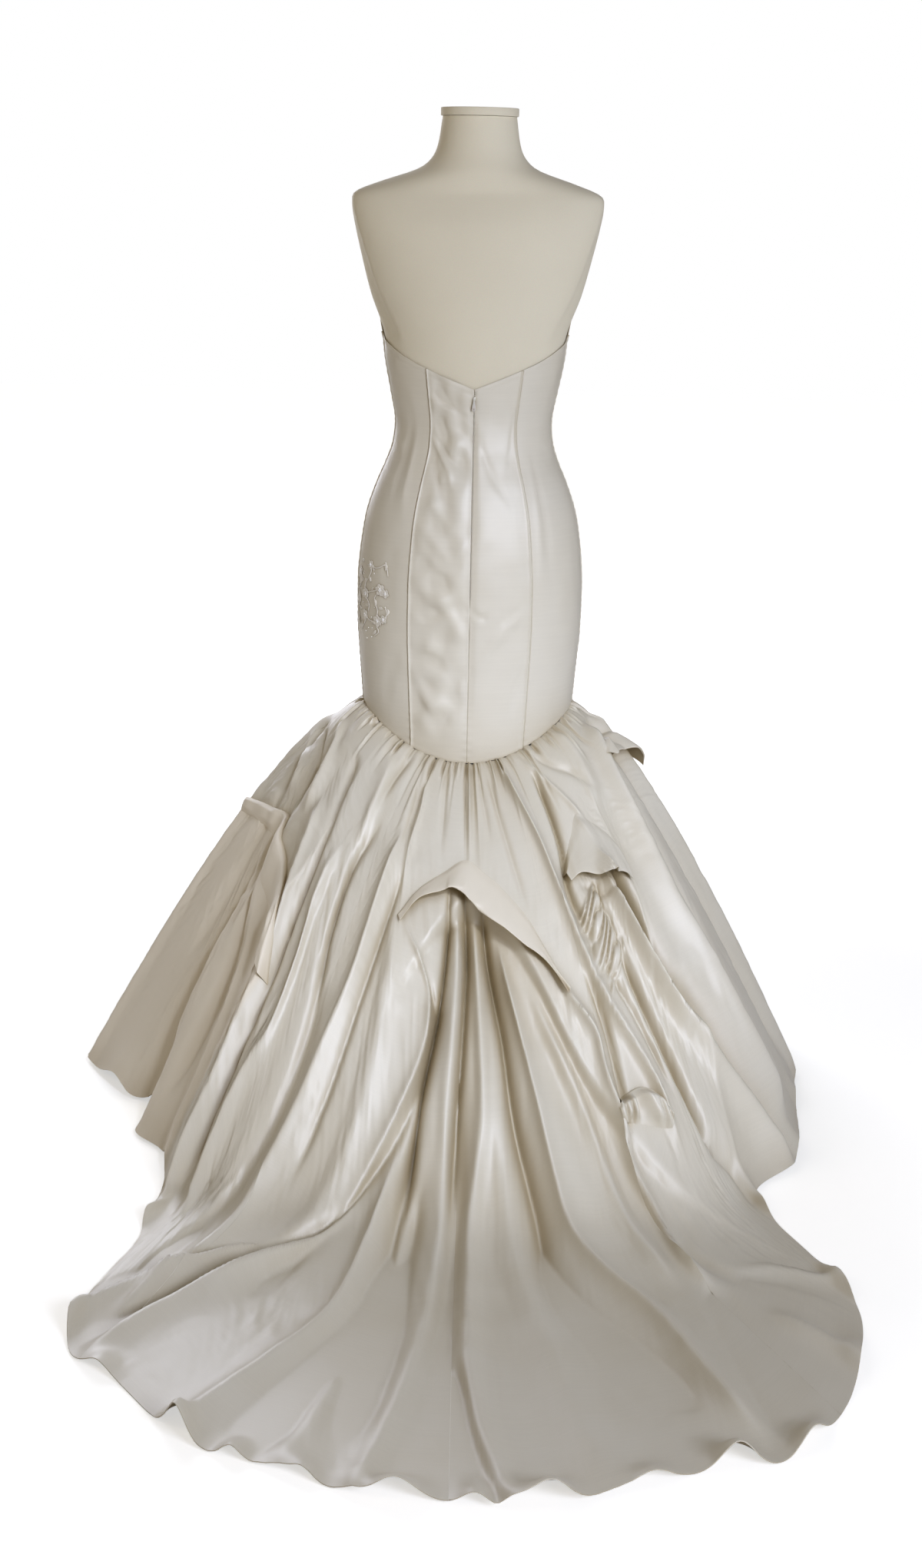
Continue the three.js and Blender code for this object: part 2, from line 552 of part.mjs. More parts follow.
// Zip
// The slider is a channel whose two cheeks hold the pull tab's neck, at a swing axis along X.
function addZip() {
  const top = bodyPoint(180, ZIP.z + ZIP.sliderHeight / 2);
  const face = top.y + ZIP.standOff;
  const outer = ZIP.sliderWidth / 2;
  const inner = outer - ZIP.cheek;
  const channel = new THREE.Shape();
  channel.moveTo(-outer, 0);
  channel.lineTo(outer, 0);
  channel.lineTo(outer, ZIP.axisOut + 0.9);
  channel.lineTo(inner, ZIP.axisOut + 0.9);
  channel.lineTo(inner, ZIP.sliderBack);
  channel.lineTo(-inner, ZIP.sliderBack);
  channel.lineTo(-inner, ZIP.axisOut + 0.9);
  channel.lineTo(-outer, ZIP.axisOut + 0.9);
  const slider = new THREE.ExtrudeGeometry(channel, { depth: ZIP.sliderHeight, bevelEnabled: false });
  addMesh("zip_slider", slider, zipMetal).position.set(0, face, ZIP.z - ZIP.sliderHeight / 2);

  const neck = inner - ZIP.cheekGap;
  const half = ZIP.tabWidth / 2;
  const outline = new THREE.Shape();
  outline.moveTo(-neck, 0.9);
  outline.lineTo(neck, 0.9);
  outline.lineTo(neck, -ZIP.sliderHeight);
  outline.lineTo(half, -ZIP.tabLength * 0.72);
  outline.absarc(0, -ZIP.tabLength + half, half, 0, -Math.PI, true);
  outline.lineTo(-half, -ZIP.tabLength * 0.72);
  outline.lineTo(-neck, -ZIP.sliderHeight);
  const thickness = ZIP.tabThickness;
  const tab = new THREE.ExtrudeGeometry(outline, { depth: thickness, bevelEnabled: false, curveSegments: 6 });
  tab.rotateX(Math.PI / 2);
  addMesh("zip_pull", tab, zipMetal).position.set(0, face + ZIP.axisOut + thickness / 2, ZIP.z);
}

// Dress form
function addForm() {
  const heights = [
    760, 800, 844, 893, 930, 960, 988, 1015, 1048, 1081, 1110, 1140, 1175, 1210, 1240, 1271, 1304,
    1340, 1374, 1393, 1405, 1415, 1424, 1432, 1441, 1455, 1470, 1492, 1532.5,
  ];
  const columns = 26;
  const positions = [0, 0, heights[0] - 14];
  for (const z of [heights[0] - 10, ...heights]) {
    const covered = 1 - smoothstep(z, 1320, 1400);
    const hidden = HIDDEN_CLEARANCE * (1 - smoothstep(z, 1060, 1130));
    const inset = (CLOTH_WALL + FORM_CLEARANCE) * covered + hidden;
    for (let j = 0; j < columns; j += 1) {
      const point = bodyPoint((360 * j) / columns, Math.max(z, heights[0]), inset, BUST.formShare);
      const tuck = z < heights[0] ? 0.86 : 1;
      positions.push(point.x * tuck, point.y * tuck, z);
    }
  }
  positions.push(0, 0, heights[heights.length - 1]);
  const last = positions.length / 3 - 1;
  const index = [];
  for (let j = 0; j < columns; j += 1) {
    const next = (j + 1) % columns;
    index.push(0, 1 + next, 1 + j);
    for (let i = 0; i < heights.length; i += 1) {
      const low = 1 + i * columns;
      const high = low + columns;
      index.push(low + j, low + next, high + next, low + j, high + next, high + j);
    }
    index.push(last - columns + j, last - columns + next, last);
  }
  const geometry = new THREE.BufferGeometry();
  geometry.setAttribute("position", new THREE.Float32BufferAttribute(positions, 3));
  geometry.setIndex(index);
  addMesh("form_torso", geometry, linen);
}

function addTurned(name, profile, material, segments = 32) {
  const points = profile.map(([r, z]) => new THREE.Vector2(r, z));
  const geometry = new THREE.LatheGeometry(points, segments);
  geometry.rotateX(Math.PI / 2);
  return addMesh(name, geometry, material);
}

function addStand() {
  const cap = NECK_RADIUS + 2;
  addTurned("form_neck_cap", [[0, 1533], [cap, 1533], [cap + 1, 1536], [cap, 1543], [0, 1545]], linen);
  addTurned("form_pole", [[0, 26.3], [POLE_RADIUS, 26.3], [POLE_RADIUS, 745.6], [0, 745.6]], paintedSteel, 24);
  const rim = BASE_RADIUS;
  addTurned(
    "form_base",
    [[0, 0], [rim - 4, 0], [rim, 4], [rim - 6, BASE_HEIGHT], [36, 16], [28, 26], [0, 26]],
    paintedSteel,
  );
}

SHEATH_PANELS.forEach(addSheathPanel);
SKIRT.forEach(addSkirtPanel);
PICK_UPS.forEach(addPickUp);
addApplique();
addZip();
addForm();
addStand();

export default gown;
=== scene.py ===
import math

import bmesh
import bpy
import numpy as np
from mathutils import Euler, Matrix, Vector


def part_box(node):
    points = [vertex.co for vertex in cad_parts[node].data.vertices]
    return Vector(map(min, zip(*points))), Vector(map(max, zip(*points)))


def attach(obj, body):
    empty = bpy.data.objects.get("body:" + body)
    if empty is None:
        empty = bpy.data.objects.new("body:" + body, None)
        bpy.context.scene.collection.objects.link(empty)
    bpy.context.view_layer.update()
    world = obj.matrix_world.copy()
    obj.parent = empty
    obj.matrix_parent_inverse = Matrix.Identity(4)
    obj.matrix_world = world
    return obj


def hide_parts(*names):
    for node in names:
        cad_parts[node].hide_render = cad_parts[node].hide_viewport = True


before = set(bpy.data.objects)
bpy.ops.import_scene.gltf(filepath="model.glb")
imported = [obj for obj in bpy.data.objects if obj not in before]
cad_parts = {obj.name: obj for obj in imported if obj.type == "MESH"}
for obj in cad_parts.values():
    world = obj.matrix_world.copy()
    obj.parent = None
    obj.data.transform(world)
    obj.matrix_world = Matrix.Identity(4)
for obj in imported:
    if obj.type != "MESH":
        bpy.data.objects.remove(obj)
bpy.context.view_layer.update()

bl_info = {
    "name": "Mermaid gown",
    "version": (1, 0, 0),
    "blender": (4, 5, 0),
    "location": "3D View > Sidebar > Gown",
    "description": "A satin mermaid gown with a train on a dress form",
    "category": "Add Mesh",
}

# The two bodies, and the sizes that several pieces share.
GOWN = "gown_on_form"
PULL = "zip_pull"
ZIP_TOP = 1.131
SLIDER_Z = 1.121
ZIP_END = 0.815
SLIDER_CHEEK = 0.0024
SKIRT_WALL = 0.002
BODICE_WALL = 0.0016
FORM_CLEARANCE = 0.0005  # between the form's cover and the bodice
SEAM_GAP = 0.00006  # half the gap between two sewn panels
WAIST_DEGREE = 0.0027  # about how far one degree round the waist is
HIP_DEGREE = 0.0028  # the same round the hips


def number_rows(text):
    """Each line of a table that has no column names, as a list of numbers."""
    return [[float(word) for word in line.split()] for line in text.strip().splitlines()]


def columns(text):
    """A table written as text, with its column names in the first row, as one array for each column."""
    names, rows = text.strip().split("\n", 1)
    return dict(zip(names.split(), np.array(number_rows(rows)).T.copy()))


# Sections of the gown's outer face, the top edge and the hem, in metres and in degrees round the body from
# the centre front, by the wearer's left side at 90, to the centre back at 180.
SECTIONS = columns("""
    z  half front  back
 0.52  0.16 0.118 0.136
  0.6 0.164 0.117 0.133
0.643 0.168 0.115 0.131
0.694 0.172 0.114  0.13
0.745 0.176 0.114  0.13
0.794 0.177 0.113 0.131
0.844 0.176 0.112 0.131
0.893 0.171  0.11 0.128
0.942 0.162 0.107  0.12
0.985 0.147 0.101 0.109
1.015 0.134 0.096 0.099
1.045 0.124 0.092 0.091
1.081 0.121  0.09 0.088
1.122 0.128 0.094 0.092
1.169 0.137   0.1 0.098
1.216 0.144 0.104 0.103
1.271 0.164 0.104 0.106
1.328  0.18 0.098 0.104
1.374  0.19 0.084 0.094
1.405 0.194 0.068  0.08
1.421 0.187 0.062 0.072
1.437 0.146 0.064 0.069
1.455 0.093 0.067 0.066
 1.47 0.073 0.065 0.061
 1.49 0.063 0.062 0.057
1.533 0.056 0.058 0.054
""")
TOP_EDGE = columns("""
angle     z
    0 1.262
   20  1.29
   38 1.304
   60 1.278
   90 1.213
  115 1.192
  147 1.164
  180 1.134
""")
HEM = columns("""
angle      x      y
    0      0  -0.43
   22  0.165 -0.412
   45  0.335 -0.345
   65   0.49 -0.225
   82  0.596  -0.06
   92   0.62  0.032
  100  0.545  0.168
  108  0.484  0.212
  116  0.503  0.313
  123  0.455   0.38
  130  0.438   0.46
  136  0.436   0.54
  141  0.446  0.606
  145  0.448  0.672
  149  0.476  0.772
  153    0.5  0.882
  156  0.485  0.975
  160   0.42  1.035
  165   0.32  1.165
  171    0.2  1.222
  176  0.105  1.268
  180  0.005  1.278
  184 -0.095  1.292
  189   -0.2  1.246
  194   -0.3  1.205
  199   -0.4  1.175
  204 -0.485   1.05
  209 -0.532   0.88
  215  -0.53  0.775
  220 -0.496  0.668
  225 -0.458  0.564
  231 -0.446  0.474
  238 -0.508  0.388
  245 -0.532  0.304
  253 -0.546  0.173
  264  -0.56   0.03
  280 -0.548  -0.12
  300  -0.44  -0.29
  330  -0.22 -0.402
""")
BUST = {"angle": 37, "z": 1.244, "rise": 0.027, "angle_spread": 17, "z_spread": 0.046, "form_share": 0.88}
LANDING = 0.52  # how far out from the hip seam the cloth comes down to the floor
TRAIN_SLACK = 0.35
DROP_CURVE = 1.35


def curve(keys, values, at):
    """A smooth curve through a table's values, read at any places."""
    at = np.clip(at, keys[0], keys[-1])
    i = np.clip(np.searchsorted(keys, at, side="left") - 1, 0, len(keys) - 2)
    slopes = np.empty(len(keys))
    slopes[1:-1] = (values[2:] - values[:-2]) / (keys[2:] - keys[:-2])
    slopes[0] = (values[1] - values[0]) / (keys[1] - keys[0])
    slopes[-1] = (values[-1] - values[-2]) / (keys[-1] - keys[-2])
    span = keys[i + 1] - keys[i]
    u = (at - keys[i]) / span
    u2, u3 = u * u, u * u * u
    return (
        values[i] * (2 * u3 - 3 * u2 + 1)
        + slopes[i] * span * (u3 - 2 * u2 + u)
        + values[i + 1] * (3 * u2 - 2 * u3)
        + slopes[i + 1] * span * (u3 - u2)
    )


def smoothstep(x, low, high):
    """0 below the first place, 1 past the second, and a soft step between them."""
    u = np.clip((x - low) / (high - low), 0, 1)
    return u * u * (3 - 2 * u)


def mirrored(angle):
    """The same angle on the wearer's left side, from 0 to 180."""
    at = np.mod(angle, 360)
    return np.where(at > 180, 360 - at, at)


def bust_rise(angle, z):
    off = (mirrored(angle) - BUST["angle"]) / BUST["angle_spread"]
    up = (z - BUST["z"]) / BUST["z_spread"]
    return BUST["rise"] * np.exp(-(off * off + up * up) / 2)


def body_point(angle, z, inset=0.0, bust=1.0):
    """Points of the gown's outer face, or of the form under it when an inset and a bust share are given."""
    sine, cosine = np.sin(np.radians(angle)), np.cos(np.radians(angle))
    half = curve(SECTIONS["z"], SECTIONS["half"], z) - inset
    front = curve(SECTIONS["z"], SECTIONS["front"], z) - inset
    back = curve(SECTIONS["z"], SECTIONS["back"], z) - inset
    depth = np.where(cosine > 0, front, back)
    rise = bust * bust_rise(angle, z)
    return np.stack([(half + rise) * sine, -(depth + rise) * cosine, z + 0 * angle], -1)


def away(angle):
    """The level direction away from the body's middle."""
    return np.stack([np.sin(np.radians(angle)), -np.cos(np.radians(angle)), 0 * angle], -1)


def top_edge(angle):
    return curve(TOP_EDGE["angle"], TOP_EDGE["z"], mirrored(angle))


def seam_height(angle):
    """Height of the drop seam, which dips at the centre back."""
    cosine = np.cos(np.radians(angle))
    return 0.630 + np.where(cosine > 0, 0.010, -0.070) * cosine * cosine


def soft_floor(x, blend):
    """The value, or nothing where it is below zero, with a rounded corner between the two."""
    return 0.5 * (x + np.sqrt(x * x + blend * blend))


def ring(table, column):
    """A closed table's column, with two rows repeated past each end."""
    values = table[column]
    turn = 360 if column == "angle" else 0
    return np.concatenate([values[-2:] - turn, values, values[:2] + turn])


HEM_RING = {column: ring(HEM, column) for column in HEM}


def skirt_base(angle, t):
    """The skirt without its folds, at angles round the seam and shares of the way from seam to hem."""
    start = body_point(angle, seam_height(angle))
    at = np.mod(angle, 360)
    hem_x = curve(HEM_RING["angle"], HEM_RING["x"], at)
    hem_y = curve(HEM_RING["angle"], HEM_RING["y"], at)
    reach = np.hypot(hem_x - start[..., 0], hem_y - start[..., 1])
    landing = np.minimum(1, LANDING / reach)
    u = t * (1 - TRAIN_SLACK * (1 - t))
    blend = 0.02 + 0.3 * (1 - landing)
    left = soft_floor(1 - (u / landing) ** DROP_CURVE, blend) / soft_floor(1, blend)
    x = start[..., 0] + (hem_x - start[..., 0]) * u
    y = start[..., 1] + (hem_y - start[..., 1]) * u
    return np.stack([x, y, start[..., 2] * left], -1)


def outwards(angle, t, span=9, step=0.004):
    """The way out of the skirt, over a wide piece of it, so that neighbouring folds stay apart."""
    across = skirt_base(angle + span, t) - skirt_base(angle - span, t)
    down = skirt_base(angle, np.minimum(1, t + step)) - skirt_base(angle, np.maximum(0, t - step))
    normal = np.cross(down, across)
    return normal / np.linalg.norm(normal, axis=-1, keepdims=True)


def degree_width(angle, t):
    """How wide one degree of the skirt is, in metres."""
    step = skirt_base(angle + 0.5, t) - skirt_base(angle - 0.5, t)
    return np.linalg.norm(step, axis=-1)


# Folds of the skirt. wide and low are half widths in millimetres at the fold's two ends, rise is its height
# (below 0 for a trough), peak is 1.1 for a crisp crest to 2 for a soft one, lean moves the crest sideways
# in millimetres, and then comes the path: angle and share of the way from seam to hem.
FOLDS = """
 8 12   8 1.6  0  87 .19  93 .27  99 .34 102 .43
 7 10  -8 1.8  0  93 .17 104 .30 108 .36 110 .43
 9 14  11 1.5  0 100 .12 108 .19 115 .25 118 .32 120 .42
16 20   8 1.8  0 144 .07 146 .12 148 .19 149 .28
14 26  16 1.2  5 123 .34 126 .40 130 .50 134 .57 136 .63 135.5 .72 135.8 .82 135 .92 138 1.02
 12 20 -11 1.7  0 127 .17 133 .34 137 .48 139.8 .60 139.4 .75 138.8 .92
15 28  13 1.3 -5 143.5 .34 144 .45 146.8 .52 147 .60 144.2 .70 143.4 .80 144.6 .92
12 26 -13 1.6  0 154.5 .19 151.5 .29 152.6 .36 155 .43 156 .48 155.4 .56 154 .64 153.4 .74 152.6 .88
 8 22  16 1.2 -6 162 .17 161.4 .28 161 .38 159.8 .46 158.6 .53 157 .60 156.4 .68 156.2 .78 156 .94
 5  9 -11 1.5  0 164.6 .22 163.4 .31 162.4 .40 161.4 .50 160 .60
14 30  10 1.8  0 165 .27 166.4 .36 166.2 .46 164.8 .54 163 .63 161.3 .72 160 .86
 9 18 -18 1.4  0 170 .31 173.6 .34 176 .37 174.6 .43 171 .50 168.4 .54 166 .60 163.8 .68 162.4 .78
 4  9  13 1.2  4 166.6 .28 169.2 .302 172 .325 174.2 .352 174.2 .40 171 .47 167.6 .54 165 .62
 3  7 -24 1.1  0 177 .22 177 .30 176.5 .362 175.5 .40 174.8 .443 174 .56
 8 20  13 1.7  2 178.6 .23 178.9 .33 178.4 .45 178.4 .53 178.2 .62 178 .72 177.3 .82 176.4 .92 175 1.04
 4  8 -24 1.1  0 180.3 .22 181.0 .305 180.7 .352 180.3 .40 179.8 .46 179.4 .56
11 20  -8 1.9  0 180.9 .42 180.2 .54 179.6 .66 179.3 .78 179.4 .92
 8 20  14 1.7 -2 182.4 .24 183.2 .34 183.2 .45 181.6 .55 181.3 .66 181.1 .80 181.5 .89 182.4 .96 183.4 1.05
 6 14 -22 1.1  0 180.4 .80 181.0 .93 181.8 1.04
 4 24 -30 1.2  0 184.2 .23 185.2 .295 186.2 .343 187.1 .39 187.7 .455 189.6 .55 189.4 .63 190.3 .72 \
 193 .82 195.4 .92
 7 26  30 1.1 -8 187.6 .29 189.8 .36 191.4 .44 192.6 .52 193.4 .60 195 .68 197 .76 197.7 .86 198.2 .98
14 34   9 2.0  0 184.6 .40 185.6 .50 186 .62 187 .80 188.4 1.04
 9 20  16 1.6  0 193 .35 195.5 .40 198.4 .46 199.6 .52 200.2 .60 200.8 .72
 6 14  21 1.3 -4 197.6 .33 200 .37 202.4 .42 202.4 .46 203.2 .51 203.1 .55 203.8 .61 203 .69 203.6 .77
 6 10 -15 1.5  0 203.4 .355 204.4 .42 204.2 .48 203.4 .55
 5 12  20 1.2 -4 196.6 .02 199.4 .10 201.8 .18 202.9 .26 204.2 .35 205.8 .42 207.6 .49 209 .55 209.8 .62
 6  8 -17 1.5  0 209.4 .07 208.6 .14 207.2 .22 205.4 .27 205.6 .31 206.4 .36
 7 12 -12 1.5  0 206.8 .37 208.6 .44 210.6 .50 213.4 .60
12 26 -19 1.5  0 212 .40 215 .54 219.8 .73 226.6 .91 229.5 1.0
12 26  30 1.3  4 216 .32 218.2 .41 220.3 .50 224.4 .66 229.4 .79 233 .87 235.4 .93 238 1.02
 7 24 -34 1.3  0 222.4 .37 225 .47 227 .56 229.2 .66 233 .75 235 .82 237 .90 239.4 1.0
15 32  24 1.7  0 253 .10 246 .20 241 .31 238.4 .45 237 .58 238.8 .67 241 .78 244 .96
10 26 -24 1.5  0 258 .10 253 .22 248 .33 244.6 .50 243.6 .62 245 .75 249 .94
 7 12 -11 1.5  0 204.4 .60 203.8 .67 205 .75 206 .81
 4  8 -10 1.3  0 205.4 .76 209 .88 213 1.02
 7 14  10 1.4  0 205.8 .76 211 .88 217.6 1.02
 5 10  -8 1.5  0 207.6 .80 214 .92 221 1.02
14 30 -20 1.3  0 203.2 .73 201.8 .84 200 .98
14 26  17 1.2  4 205 .84 206 .94 206.6 1.04
 9 22  20 1.1 -5 169.4 .53 166 .60 163 .68 161 .76 158.6 .87 156.8 1.0
 7 18 -17 1.3  0 167.6 .55 162.4 .66 159.4 .78 157.2 .88 155 1.0
 9 26  22 1.1 -6 172 .50 170.8 .60 170 .75 167.2 .86 165.2 .95 164.4 1.02
 8 34 -26 1.3  0 174.4 .46 173.2 .58 172.8 .74 170.6 .86 168.6 1.0
10 26 -18 1.8  0 176 .50 175.2 .66 175 .80 174 .94
18 34  13 1.5  0 172.6 .80 171.6 .90 170.6 1.04
 9 22  19 1.1 -4 162.2 .67 158 .76 154.8 .87 152.6 1.02
 7 16 -14 1.3  0 160 .70 155.6 .80 153 .90 151 1.0
 3  5   6 1.1  0 161.6 .03 164.6 .12 164.4 .19 165.8 .28
 4  6  -4 1.5  0 159.6 .03 162 .12 162.6 .22
 2  3  -4.5 1.2  0 179.3 .0 179.8 .07 180.3 .14 180.5 .20
 7  8  -7 1.4  0 206 .280 209.5 .31 212.2 .335 217.2 .375 223 .44 226.8 .49
 4  6  -5 1.6  0 189.5 .01 191 .10 193.2 .20 195 .28
 4  6  -5 1.6  0 171 .01 172.6 .11 173.6 .19
 3  5  -4 1.6  0 186 .02 187 .12 187.6 .17
 5  9  -7 1.6  0 153 .02 151 .10 150.4 .18
 4  7   6 1.5  0 206 .02 212 .11 217 .19 222 .30
 5  8  -6 1.6  0 212 .02 220 .11 228 .20 233 .30
10 18   9 1.8  0 232 .02 234 .12 233 .22 231 .34
 9 16  -9 1.8  0 262 .10 259 .25 256 .45 257 .70 260 .95
12 26  13 1.6  0 268 .10 264 .30 262 .60 264 1.04
 9 20  -9 1.7  0 276 .12 272 .40 271 .70 272 1.0
10 20  11 1.5  0  82 .14  86 .30  90 .50  92 .75  92 1.04
 9 18  -9 1.7  0  90 .16  97 .38 100 .55 100 .80
10 20  12 1.5  0 104 .52 110 .62 114 .75 112 .92
 8 16 -12 1.6  0 112 .56 118 .66 121 .78 119 .95
 9 18  12 1.5  0 118 .60 125 .70 128 .82 126 1.0
"""


def read_folds(text):
    """Each fold's six sizes and the angles and shares of its path, in metres and degrees."""
    folds = []
    for numbers in number_rows(text):
        path = np.array(numbers[5:]).reshape(-1, 2)
        wide, low, rise, peak, lean = numbers[:5]
        folds.append((wide / 1000, low / 1000, rise / 1000, peak, lean / 1000, path[:, 0], path[:, 1]))
    return folds


FOLD_LIST = read_folds(FOLDS)
FRONT_WAVES = 13
FRONT_WAVE_HEIGHT = 0.013
FRONT_SWELL_HEIGHT = 0.014
NICHE = {"angle": 182, "t": 0.262, "depth": 0.030, "angle_spread": 11, "above": 0.022, "below": 0.16}


def add_folds(folds, angle, t, width):
    """Heights of the folds and how far, in degrees, their crests lean, at points of the skirt."""
    height = np.zeros(np.broadcast(angle, t).shape)
    shift = np.zeros_like(height)
    for wide, low, rise, peak, lean, at, share in folds:
        first, last = share[0], share[-1]
        down = np.clip((t - first) / (last - first), 0, 1)
        half = wide + (low - wide) * down
        off = (angle - curve(share, at, t)) * width / half
        body = np.exp(-((off * off + 0.03) ** (peak / 2)))
        fade = min(0.07, (last - first) * 0.35)
        run = smoothstep(t, first - 0.01, first + fade) * (1 - smoothstep(t, last - fade, last + 0.01))
        body = body * run
        height += rise * body
        shift += lean * body / width
    return height, shift


def front_waves(angle, t):
    """The hem's waves over the hidden front: narrow ones of uneven height on a few broad swells."""
    side = mirrored(angle) / 90
    around = np.radians(angle)
    wave = np.sin(around * FRONT_WAVES * 2 + 0.8 * np.sin(around * 3.3 + 1))
    wave = wave * (0.6 + 0.6 * np.sin(around * 6.1 + 2) * np.cos(around * 2.3 + 3 * t))
    broad = np.sin(around * 8.7 + 0.6 * t) * np.cos(around * 4.1 + 2.2) + 0.4 * np.sin(around * 15.3 + 1)
    reach = smoothstep(t, 0.08, 0.9) * np.maximum(0, 1 - side**6)
    return reach * (FRONT_WAVE_HEIGHT * (wave + 0.25 * wave**3) + FRONT_SWELL_HEIGHT * broad)


# Gathers of the drop seam: from one angle to another, so many.
GATHER_HEIGHT = 0.0026
GATHER_ROWS = [(-90, 90, 24), (90, 157, 12), (157, 180, 6), (180, 203, 6), (203, 270, 12)]


def gathers(angle, t):
    """The small pleats under the drop seam, uneven in spacing, height and length."""
    turned = np.where(np.mod(angle, 360) >= 270, np.mod(angle, 360) - 360, np.mod(angle, 360))
    count = np.zeros_like(turned)
    before = 0
    for start, end, number in GATHER_ROWS:
        inside = (turned >= start) & (turned <= end)
        count = np.where(inside, before + (turned - start) / (end - start) * number, count)
        before += number
    count = count + 0.28 * np.sin(count * 1.9) + 0.17 * np.sin(count * 4.3 + 1)
    number = np.floor(count)
    tall = 0.35 + 1.0 * np.sin(number * 2.4 + 1) ** 4
    reach = 0.06 + 0.18 * np.sin(number * 1.3 + 0.4) ** 4
    run = (0.55 + 0.45 * smoothstep(t, 0, 0.03)) * (1 - smoothstep(t, reach * 0.35, reach))
    wave = np.sin(2 * np.pi * count)
    fine = np.sin(2 * np.pi * count * 2.3 + 0.7) * (1 - smoothstep(t, 0.01, 0.06))
    return GATHER_HEIGHT * tall * run * (wave + 0.3 * wave * np.abs(wave)) + 0.0007 * fine


def niche(angle, t):
    """The hollow under the centre pick-up, from which the train's folds start."""
    middle = NICHE["angle"] + 55 * np.clip(t - 0.27, 0, 0.2)
    off = (angle - middle) / NICHE["angle_spread"]
    top = NICHE["t"] + 0.0006 * (angle - NICHE["angle"]) ** 2
    run = smoothstep(t, top - NICHE["above"], top) * (1 - smoothstep(t, top + 0.03, top + NICHE["below"]))
    return -NICHE["depth"] * run * np.exp(-(off**2))


# The ruched column: its middle, half width in degrees, first share of the way, length and count of puckers.
RUCHING = {"angle": 209.2, "wide": 3.0, "t": 0.318, "length": 0.107, "puckers": 7.5}


def ruching(angle, t):
    """A stitched column of small puckers under the right pick-up."""
    along = (t - RUCHING["t"]) / RUCHING["length"]
    inside = smoothstep(along, -0.04, 0.06) * (1 - smoothstep(along, 0.94, 1.05))
    middle = RUCHING["angle"] + 0.5 * np.sin(along * 9) + 1.4 * (along - 0.5)
    off = (angle - middle) / (RUCHING["wide"] + 0.5 * np.sin(along * 14))
    body = np.exp(-(off**4))
    phase = along * RUCHING["puckers"] + 0.35 * np.sin(off * 2.2 + along * 11) + 0.25 * off
    pucker = np.abs(np.sin(np.pi * phase)) ** 0.7 - 0.45
    edge = np.exp(-((np.abs(off) - 1.15) / 0.25) ** 2)
    return inside * (body * (0.005 + 0.0095 * pucker) - 0.004 * edge)


def wrinkles(x, y, size, seed):
    """Small uneven creases about this far apart: ridged waves that bend one another."""
    rng = np.random.default_rng(seed)
    total = 0.0
    for _ in range(6):
        turn, first, second = rng.uniform(0, 2 * np.pi, 3)
        pitch = size * rng.uniform(0.7, 1.8)
        cross = (x * np.sin(turn) - y * np.cos(turn)) / (pitch * rng.uniform(1.2, 2.6))
        along = (x * np.cos(turn) + y * np.sin(turn)) / pitch
        wave = np.sin(2 * np.pi * along + 1.3 * np.sin(2 * np.pi * cross + first) + second)
        total = total + 1 - 2 * np.sqrt(0.95 * wave * wave + 0.05)
    return total / 6


def waviness(x, y, size, seed):
    """Soft uneven swells about this far apart."""
    rng = np.random.default_rng(seed)
    total = 0.0
    for _ in range(6):
        turn, first, second = rng.uniform(0, 2 * np.pi, 3)
        pitch = size * rng.uniform(0.8, 1.7)
        cross = (x * np.sin(turn) - y * np.cos(turn)) / (pitch * 1.7)
        along = (x * np.cos(turn) + y * np.sin(turn)) / pitch
        total = total + np.sin(2 * np.pi * along + np.sin(2 * np.pi * cross + first) + second)
    return total / 6


# Where the hem lifts off the floor: its angle, half width in degrees, height in units of HEM_LIFT, and the
# share of the way to the hem where the lift begins.
HEM_LIFT = 0.0015
HEM_LIFTS = columns("""
angle wide lift start
 98    2.4  14   .90
107    2.0  10   .92
127    2.2  12   .90
140    1.6  10   .92
153.5  0.9  16   .95
158.5  1.2  10   .95
164.6  0.9  26   .95
168.0  0.8  12   .96
172.4  1.0   9   .96
177.6  1.3  20   .96
181.2  0.8  12   .95
184.6  1.5  27   .95
190.5  1.4  12   .96
195.6  1.3  24   .95
200.4  1.2  18   .96
207.0  1.6   9   .95
216.0  2.0  12   .93
228.0  2.0  10   .93
243.0  2.5  12   .92
256.0  2.5  10   .92
""")


# Loose creases of the skirt: their height and how far apart they are, in metres.
SKIRT_CREASES = {"height": 0.0022, "apart": 0.13}
SKIRT_SWELLS = {"height": 0.0016, "apart": 0.09}
SKIRT_CRUMPLES = {"height": 0.00035, "apart": 0.035}
SKIRT_PULLS = {"height": 0.0007, "apart": 0.026}  # long narrow ones down the skirt


def skirt_height(angle, t, fine=True):
    """How far the skirt stands off its base, and how far its crests lean, in metres and degrees."""
    at = np.mod(angle, 360)
    width = degree_width(at, t)
    height, shift = add_folds(FOLD_LIST, at, t, width)
    height = height + front_waves(at, t) + niche(at, t)
    if fine:
        x, y = (at - 180) * width, t * 1.3
        height = height + gathers(at, t) + ruching(at, t)
        loose = 0.25 + 0.75 * smoothstep(waviness(x, y, 0.35, 11), -0.2, 0.5)
        low = smoothstep(t, 0.06, 0.3)
        creases = SKIRT_CREASES["height"] * wrinkles(x, y, SKIRT_CREASES["apart"], 5)
        swells = SKIRT_SWELLS["height"] * waviness(x, y, SKIRT_SWELLS["apart"], 8)
        crumples = SKIRT_CRUMPLES["height"] * wrinkles(x, y, SKIRT_CRUMPLES["apart"], 21)
        pulls = SKIRT_PULLS["height"] * wrinkles(x, y * 0.12, SKIRT_PULLS["apart"], 33)
        height = height + low * loose * (creases + swells) + crumples * loose + low * pulls
    return height, shift


